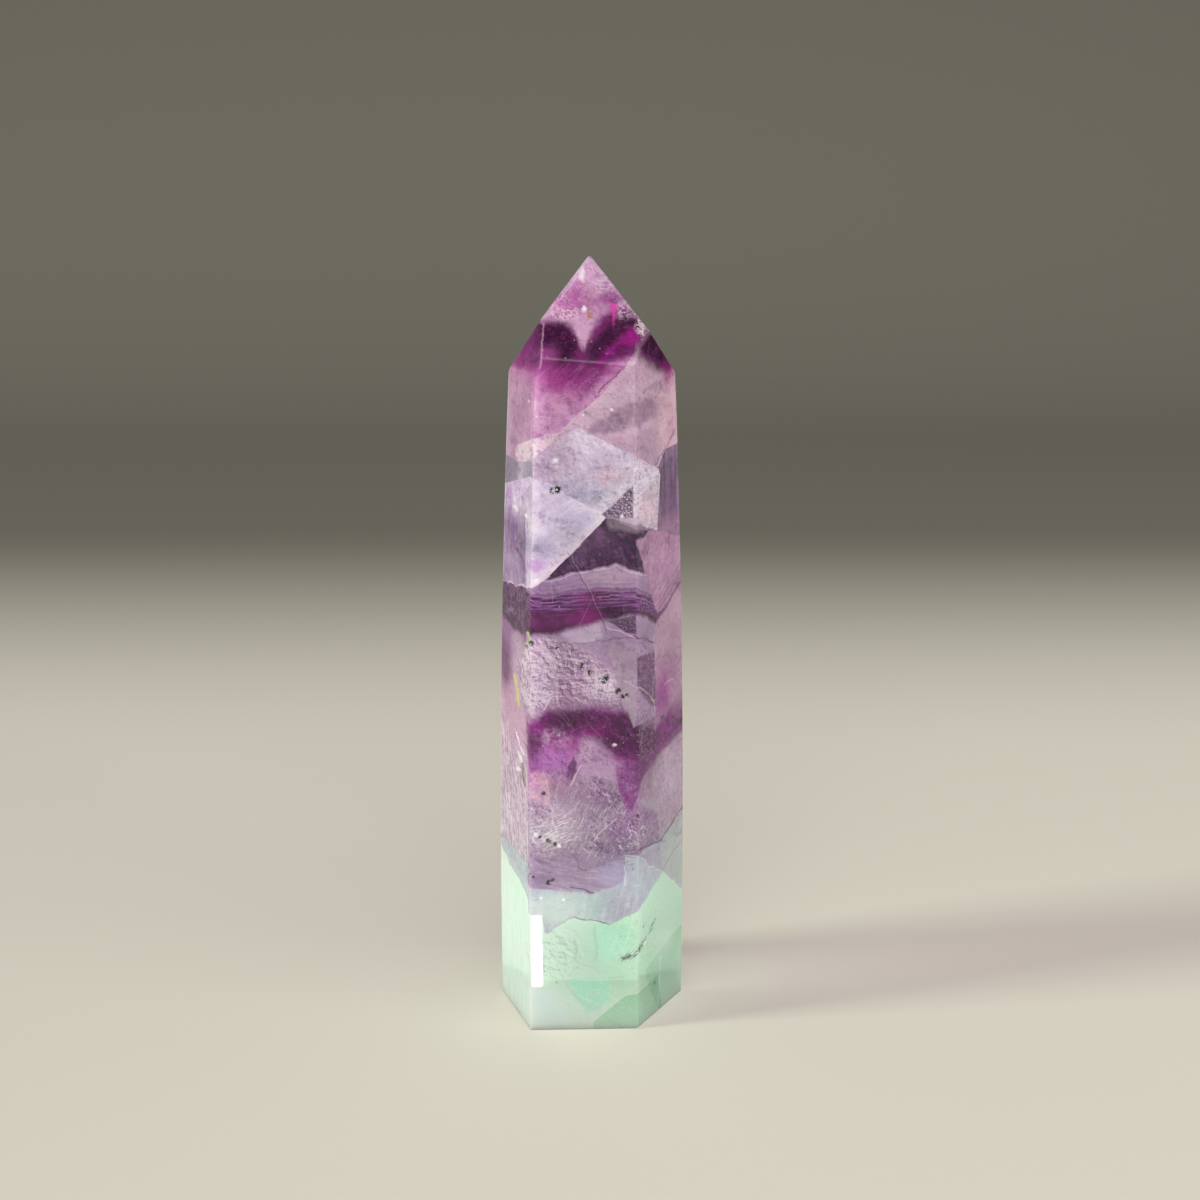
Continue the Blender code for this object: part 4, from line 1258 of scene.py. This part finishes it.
def paint_marks(c, look):
    """Fine marks of the front: scratches, crackle, glints and dark mineral grains."""
    front = c.front
    body = c.above([(-12, 22), (-7, 22.5), (0, 21), (12, 24)], 0.8)
    low_body = body * c.below([(-12, 30), (-4, 33), (12, 31)], 1.2)
    c.lay(low_body * c.cracks(1.5, 0.05) * c.mottle(2.0, 0.52, 0.08) * 0.35, look.cream)
    c.lay(low_body * c.fibres(62, 1.6, 0.16, 0.62, 0.04) * 0.4, look.frost)
    c.lay(c.oval(-4.2, 25.6, 2.6, 2.0, 0.6) * c.fibres(20, 0.9, 0.16, 0.56, 0.05) * 0.7, look.cream)
    crumbs = c.area([(-7.3, 33.0), (-5.3, 33.0), (-4.7, 29.4), (-5.4, 28.7), (-7.3, 29.4)], 0.5)
    c.lay(crumbs * 0.45, look.blush)
    c.lay(crumbs * c.mottle(0.5, 0.52, 0.05, 4.0, 0.7) * 0.6, look.peach)
    c.lines(front, (
        ([(-5.5, 32.6), (-4.8, 29.7), (-4.3, 26.8), (-3.8, 25.0)], 0.04, 0.1, 0.6, look.cream),
        ([(0.3, 24.5), (2.9, 27.1)], 0.04, 0.08, 0.6, look.cream),
    ))
    crack = c.path([
        (3.8, 22.6), (5.4, 22.2), (6.8, 20.2), (8.4, 18.1), (9.5, 16.4), (11.0, 14.0),
    ], 0.02, 0.07)
    c.lay(crack * 0.7 * front, look.white)
    c.lay(c.stroke((3.75, 21.1), (3.75, 18.7), 0.04, 0.14) * 0.7 * front, look.white)
    c.lines(front, (
        ([(0.2, 1.2), (2.2, 3.4), (3.9, 4.35), (6.2, 6.2)], 0.03, 0.07, 0.8, look.white_green),
        ([(8.3, 7.2), (8.0, 0.1)], 0.03, 0.07, 0.7, look.white_green),
    ))
    stains = (
        ((-4.1, 12.5), (-2.9, 10.5)), ((-4.1, 8.9), (-3.3, 6.8)), ((-3.1, 5.9), (-1.5, 3.7)),
        ((-2.8, 7.2), (-1.8, 8.3), (-0.6, 8.5), (0.5, 8.2), (1.0, 7.7)),
        ((-3.1, 6.6), (-0.5, 6.7), (3.7, 6.9)),
    )
    c.lay(c.paths(stains, 0.02, 0.07) * 0.45 * front, look.dusk_clear)
    tuft = c.path([(3.6, 9.4), (4.8, 9.9), (6.2, 10.9)], 0.3, 0.3) * c.fibres(35, 0.9, 0.18, 0.47, 0.06)
    tail = c.path([(6.2, 10.9), (6.9, 11.6), (7.5, 12.7)], 0.1, 0.14) * c.mottle(0.29, 0.5, 0.05)
    c.lay(union((tuft, tail)) * 0.8 * front, look.dusk)
    c.lay(
        c.paths((((-1.9, 11.9), (-1.9, 9.5)), ((0.3, 13.4), (0.4, 9.3))), 0.08, 0.24) * 0.4 * front,
        look.sage_dark,
    )
    c.lines(front, (
        ([(-2.7, 58.3), (-0.3, 53.9), (0.6, 51.6), (1.6, 49.2)], 0.05, 0.1, 0.55, look.dusk),
        ([(-2.5, 58.3), (-0.1, 53.9), (0.8, 51.6), (1.8, 49.2)], 0.02, 0.06, 0.35, look.frost),
        ([(8.3, 41.4), (9.5, 41.6)], 0.04, 0.07, 0.6, look.cream),
        ([(7.12, 48.0), (7.15, 38.5)], 0.02, 0.06, 0.5, look.cream),
        ([(-2.5, 31.2), (-1.3, 33.7)], 0.05, 0.07, 0.7, look.cream),
        ([(-5.4, 40.3), (-4.6, 41.9)], 0.04, 0.06, 0.7, look.white),
    ))
    # yellow and white needles, green and black grains
    ragged = c.mottle(0.28, 0.42, 0.06, 2.0, 0.7)
    c.lay(c.path([(-9.0, 42.9), (-8.6, 41.5), (-8.2, 40.0)], 0.2, 0.14) * ragged * front, look.yellow)
    c.lay(c.path([(-8.8, 36.2), (-7.85, 34.3)], 0.08, 0.07) * front, look.white)
    c.lay(
        c.paths((((-8.4, 33.9), (-7.9, 33.0)), ((-8.6, 31.6), (-8.3, 32.1))), 0.13, 0.12) * front,
        look.white,
    )
    c.lay(c.path([(-7.2, 49.0), (-6.9, 48.2), (-7.4, 47.5)], 0.14, 0.12) * ragged * front, look.leaf)
    c.lay(c.path([(-7.9, 33.1), (-7.8, 31.6), (-7.7, 30.6)], 0.12, 0.12) * ragged * front, look.leaf_dark)
    grains = (
        (-6.8, 49.4, 0.12), (-6.75, 48.1, 0.32), (-7.3, 47.3, 0.18), (-3.9, 47.6, 0.2),
        (-4.0, 46.3, 0.14), (-2.9, 46.9, 0.12), (-1.1, 45.4, 0.36), (-0.1, 44.6, 0.28), (1.5, 43.9, 0.46),
        (2.0, 43.3, 0.2), (3.0, 42.3, 0.36), (3.5, 41.7, 0.3), (4.1, 41.8, 0.26), (-4.3, 65.3, 0.36),
        (-3.7, 65.4, 0.42), (8.1, 37.8, 0.2), (9.4, 37.1, 0.2), (10.5, 35.8, 0.36), (-5.5, 30.2, 0.3),
        (-4.8, 19.3, 0.3), (-4.4, 19.6, 0.2), (-6.9, 19.9, 0.14), (-7.2, 20.2, 0.12), (4.4, 26.3, 0.16),
        (5.2, 27.4, 0.16), (-5.0, 24.4, 0.3), (-6.0, 24.9, 0.2), (-4.2, 23.9, 0.24), (-5.6, 7.8, 0.08),
        (-4.2, 6.4, 0.07), (7.6, 4.2, 0.1), (3.9, 12.0, 0.07), (6.0, 12.9, 0.08),
    )
    c.lay(c.dots(grains, 1.15, 0.4) * c.mottle(0.3, 0.44, 0.06, 2.0, 0.7) * front, look.moss)
    # painted glints: white dots where light catches inside the stone
    glints = (
        (-3.9, 68.6, 0.26), (3.2, 62.4, 0.2), (2.2, 43.2, 0.16), (2.6, 35.9, 0.2), (6.3, 10.6, 0.2),
        (-3.8, 23.7, 0.2), (2.0, 74.1, 0.18), (-1.0, 73.4, 0.12), (-6.1, 73.3, 0.12), (-6.9, 74.8, 0.12),
        (-6.3, 25.2, 0.26), (-8.6, 62.3, 0.3), (-7.3, 62.0, 0.18), (-6.0, 55.2, 0.4), (-5.8, 17.2, 0.2),
        (-3.2, 16.9, 0.2), (-0.9, 84.3, 0.26),
    )
    c.lay(c.dots(glints, 1.0, 0.7) * c.mottle(0.25, 0.4, 0.08, 2.0, 0.7) * front, look.white)
    c.lay(c.oval(-0.2, 83.8, 0.34, 0.34, 0.5) * ragged * front, look.gold)
    # painted sparkle, as glitter, in the rainbow area and along the top of the upper veil
    sparkle = union((
        c.oval(3.4, 63.4, 1.3, 1.5, 0.4),
        c.oval(1.0, 66.8, 2.2, 1.4, 0.6) * 0.6,
        c.oval(-1.0, 71.6, 2.0, 0.9, 0.5) * 0.7,
        c.oval(-5.2, 24.4, 1.6, 0.9, 0.4) * 0.9,
        c.oval(-0.4, 47.0, 4.0, 2.0, 0.5) * 0.3,
    ))
    c.glitter(sparkle * front, 0.24)


LAYERS = (
    paint_foot,
    paint_body,
    paint_frost,
    paint_bands,
    paint_veils,
    paint_shoulder,
    paint_tip,
    paint_depth,
    paint_back,
    paint_marks,
)


def layer(recipe, painter, stretch, look, paint, place):
    """One painter's masks and colours in a node group of their own, which takes the paint and passes it on.

    The place that it draws by takes in a vanishing share of the paint below. So the renderer works the
    layers through one after the other, and its small memory for a shader's values doesn't run out.
    """
    name = stretch.name + painter.__name__.removeprefix("paint")
    inner = Recipe(bpy.data.node_groups.new(name, "ShaderNodeTree"))
    inner.tree.interface.new_socket("Paint", in_out="INPUT", socket_type="NodeSocketColor")
    inner.tree.interface.new_socket("Place", in_out="INPUT", socket_type="NodeSocketVector")
    inner.tree.interface.new_socket("Paint", in_out="OUTPUT", socket_type="NodeSocketColor")
    under = inner.out("NodeGroupInput", 0)
    canvas = Canvas(inner, stretch, under, inner.out("NodeGroupInput", 1))
    painter(canvas, look)
    if canvas.paint is under or not isinstance(canvas.paint, Wire):
        bpy.data.node_groups.remove(inner.tree)
        return paint if canvas.paint is under else canvas.paint
    inner.node("NodeGroupOutput", None, {0: canvas.paint})
    if isinstance(paint, Wire):
        place = recipe.vector("MULTIPLY_ADD", paint, (VANISHING,) * 3, place)
    return recipe.out("ShaderNodeGroup", 0, {"node_tree": inner.tree}, {0: paint, 1: place})


def stone_surface(recipe, stretch, look, finish):
    """Polished fluorite: a dielectric that scatters part of the light at its coloured zones."""
    paint = tuple(look.mint)
    place = recipe.vector("SCALE", recipe.out("ShaderNodeTexCoord", "Object"), 1.0 / MM)
    for painter in LAYERS:
        paint = layer(recipe, painter, stretch, look, paint, place)
    surface = recipe.out(
        "ShaderNodeBsdfPrincipled",
        "BSDF",
        None,
        {
            "Base Color": paint,
            "Roughness": finish.polish,
            "IOR": FLUORITE_IOR,
            "Transmission Weight": finish.clarity,
            "Subsurface Weight": 1.0,
            "Subsurface Radius": SCATTER_REACH,
            "Subsurface Scale": SCATTER_DEPTH,
        },
    )
    shadow = recipe.out("ShaderNodeLightPath", "Is Shadow Ray")
    through = recipe.out("ShaderNodeBsdfTransparent", "BSDF", None, {"Color": SHADOW_TINT})
    return recipe.out("ShaderNodeMixShader", 0, None, {0: shadow, 1: surface, 2: through})


def face_corners(data):
    """Every face's corners in millimetres, as one array: faces of fewer corners repeat their last."""
    points = np.empty(len(data.vertices) * 3)
    data.vertices.foreach_get("co", points)
    points = points.reshape(-1, 3) / MM
    most = max(len(face.vertices) for face in data.polygons)
    ids = [list(face.vertices) + [face.vertices[-1]] * (most - len(face.vertices)) for face in data.polygons]
    return points[np.array(ids)]


def sort_skin(data):
    """Sort the faces by side and height, so that each material draws only the zones that its faces cross."""
    corners = face_corners(data)
    x, y, z = corners[..., 0], corners[..., 1], corners[..., 2]
    depth = np.maximum(y, LEAN_FROM) - LEAN_FROM
    leant_x = x + depth * (LEAN[0] + (z - FAN_HEIGHT) * FAN[0])
    leant_z = z + depth * (LEAN[1] + leant_x * FAN[1])
    top = z.max(axis=1)
    behind = y.mean(axis=1) > BACK_FROM
    tip = top > SHOULDER + SLACK
    sides = {"front": ~behind & ~tip, "back": behind & ~tip, "tip": tip}
    for name, side, low, high in SKIN:
        faces = np.flatnonzero(sides[side] & (top > low + SLACK) & (top <= high + SLACK))
        front = {"front": 1.0, "back": 0.0, "tip": None}[side]
        yield Stretch(name, faces, side != "front", front, leant_z[faces].min(), leant_z[faces].max())


# ---------------------------------------------------------------- pieces


def merged_copy(node, name):
    """A node's own surface as a new piece: its loose triangles joined at their shared corners."""
    mesh = bmesh.new()
    mesh.from_mesh(bpy.data.objects[node].data)
    bmesh.ops.remove_doubles(mesh, verts=mesh.verts[:], dist=WELD)
    data = bpy.data.meshes.new(name)
    mesh.to_mesh(data)
    mesh.free()
    piece = bpy.data.objects.new(name, data)
    bpy.context.scene.collection.objects.link(piece)
    return piece


class FLUORITE_OT_stone(bpy.types.Operator):
    """Polish the tower and give it its banded colour"""

    bl_idname = "fluorite.stone"
    bl_label = "Stone"

    def execute(self, context):
        stone = merged_copy(NODE, "polished_stone")
        stone.data.shade_smooth()
        stone.data.set_sharp_from_angle(angle=SHARP_EDGE)
        even = stone.modifiers.new("even_faces", "WEIGHTED_NORMAL")
        even.keep_sharp = True
        scene = context.scene
        colours, finish = scene.fluorite_colours, scene.fluorite_finish
        kinds = np.zeros(len(stone.data.polygons), dtype=np.int32)
        for index, stretch in enumerate(sort_skin(stone.data)):
            kinds[stretch.faces] = index
            surface = functools.partial(stone_surface, stretch=stretch, look=colours, finish=finish)
            stone.data.materials.append(new_material(stretch.name, surface))
        stone.data.polygons.foreach_set("material_index", kinds)
        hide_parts(NODE)
        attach(stone, "root")
        return {"FINISHED"}


def table_surface(recipe, look):
    """Matt paint that turns into the shaded wall behind."""
    back = axis_share(recipe, recipe.out("ShaderNodeTexCoord", "Object"), 1)
    tint = recipe.mix(recipe.step(back, SHADE_FROM, SHADE_SOFT), look.table, look.backdrop)
    inputs = {"Base Color": tint, "Roughness": 0.6, "Specular IOR Level": 0.0}
    return recipe.out("ShaderNodeBsdfPrincipled", "BSDF", None, inputs)


def area_lamp(name, place, target, size, watts, tint):
    """A soft square lamp at a place, aimed at a target."""
    data = bpy.data.lights.new(name, "AREA")
    data.size = size
    data.energy = watts
    data.color = tint
    lamp = bpy.data.objects.new(name, data)
    lamp.location = place
    aim = np.array(target) - np.array(place)
    tilt = math.acos(-aim[2] / np.linalg.norm(aim))
    lamp.rotation_euler = (tilt, 0.0, math.atan2(aim[1], aim[0]) - math.pi / 2)
    bpy.context.scene.collection.objects.link(lamp)
    return lamp


class FLUORITE_OT_stage(bpy.types.Operator):
    """Set the table, the backdrop, the lamps and the camera"""

    bl_idname = "fluorite.stage"
    bl_label = "Stage"

    def execute(self, context):
        scene = context.scene
        look = scene.fluorite_stage
        self.sweep(look)
        for name, place, aim_height, size, tint in LAMPS:
            watts = getattr(look, name + "_power")
            area_lamp(name + "_lamp", place, (0.0, 0.0, aim_height), size, watts, tint)
        self.strip_light()
        world = bpy.data.worlds.new("room")
        world.use_nodes = True
        world.node_tree.nodes["Background"].inputs["Color"].default_value = (*look.room, 1.0)
        world.node_tree.nodes["Background"].inputs["Strength"].default_value = ROOM_STRENGTH
        scene.world = world
        scene.view_settings.view_transform = "Standard"
        self.camera(scene)
        return {"FINISHED"}

    @staticmethod
    def strip_light():
        """A small upright strip low in front, which lights nothing: the polished front mirrors it."""
        strip = area_lamp("strip_light", STRIP_PLACE, STRIP_TARGET, STRIP_SIZE[0], STRIP_POWER, (1, 1, 1))
        strip.data.shape = "RECTANGLE"
        strip.data.size_y = STRIP_SIZE[1]
        strip.visible_camera = False
        strip.visible_diffuse = False
        strip.visible_transmission = False

    @staticmethod
    def sweep(look):
        """Table and wall in one sheet, its profile drawn out along x.

        The profile runs straight back along y, turns up along a quarter circle and then rises straight.
        """
        flat, turned = 0.4, 0.6  # shares of the profile at which it starts and ends its turn
        run = np.linspace(0.0, 1.0, 49)
        turn = np.clip((run - flat) / (turned - flat), 0.0, 1.0) * math.pi / 2
        front, back = TABLE_RUN
        y = np.where(run < flat, front + (back - front) * run / flat, back + BEND * np.sin(turn))
        wall = BEND + WALL_RISE * (run - turned) / (1 - turned)
        z = np.where(run < turned, BEND * (1 - np.cos(turn)), wall)
        x = np.array([-HALF_TABLE, HALF_TABLE])
        grid_x, grid_y = np.meshgrid(x, y)
        grid_z = np.meshgrid(x, z)[1]
        points = np.stack([grid_x, grid_y, grid_z], -1).reshape(-1, 3)
        i = np.arange(len(run) - 1) * 2
        faces = np.stack([i, i + 1, i + 3, i + 2], -1)
        data = bpy.data.meshes.new("table")
        data.from_pydata(points.tolist(), [], faces.tolist())
        data.shade_smooth()
        table = bpy.data.objects.new("table", data)
        bpy.context.scene.collection.objects.link(table)
        data.materials.append(new_material("table_top", functools.partial(table_surface, look=look)))

    @staticmethod
    def camera(scene):
        data = bpy.data.cameras.new("camera")
        data.lens = LENS
        data.sensor_width = 36.0
        data.clip_start = 0.01
        data.shift_x = LENS_SHIFT
        camera = bpy.data.objects.new("camera", data)
        camera.location = CAMERA_PLACE
        camera.rotation_euler = (math.radians(90.0 - CAMERA_DIP), 0.0, 0.0)
        scene.collection.objects.link(camera)
        scene.camera = camera


class FLUORITE_PT_panel(bpy.types.Panel):
    """Lists the steps and the values that shape the stone"""

    bl_idname = "FLUORITE_PT_panel"
    bl_label = "Fluorite point"
    bl_space_type = "VIEW_3D"
    bl_region_type = "UI"
    bl_category = "Fluorite"

    def draw(self, context):
        for group in (getattr(context.scene, name) for name in GROUPS):
            for name in group.__annotations__:
                self.layout.prop(group, name)
        for step in STEPS:
            self.layout.operator(step.bl_idname)


STEPS = (FLUORITE_OT_stone, FLUORITE_OT_stage)
GROUPS = {
    "fluorite_colours": FluoriteColours,
    "fluorite_finish": FluoriteFinish,
    "fluorite_stage": FluoriteStage,
}


def register():
    for cls in (*GROUPS.values(), *STEPS, FLUORITE_PT_panel):
        bpy.utils.register_class(cls)
    for name, group in GROUPS.items():
        setattr(bpy.types.Scene, name, bpy.props.PointerProperty(type=group))


def unregister():
    for name in GROUPS:
        delattr(bpy.types.Scene, name)
    for cls in (FLUORITE_PT_panel, *reversed(STEPS), *reversed(GROUPS.values())):
        bpy.utils.unregister_class(cls)


def main():
    """Register and run every step in order."""
    register()
    bpy.ops.fluorite.stone()
    bpy.ops.fluorite.stage()


if __name__ == "__main__":
    main()
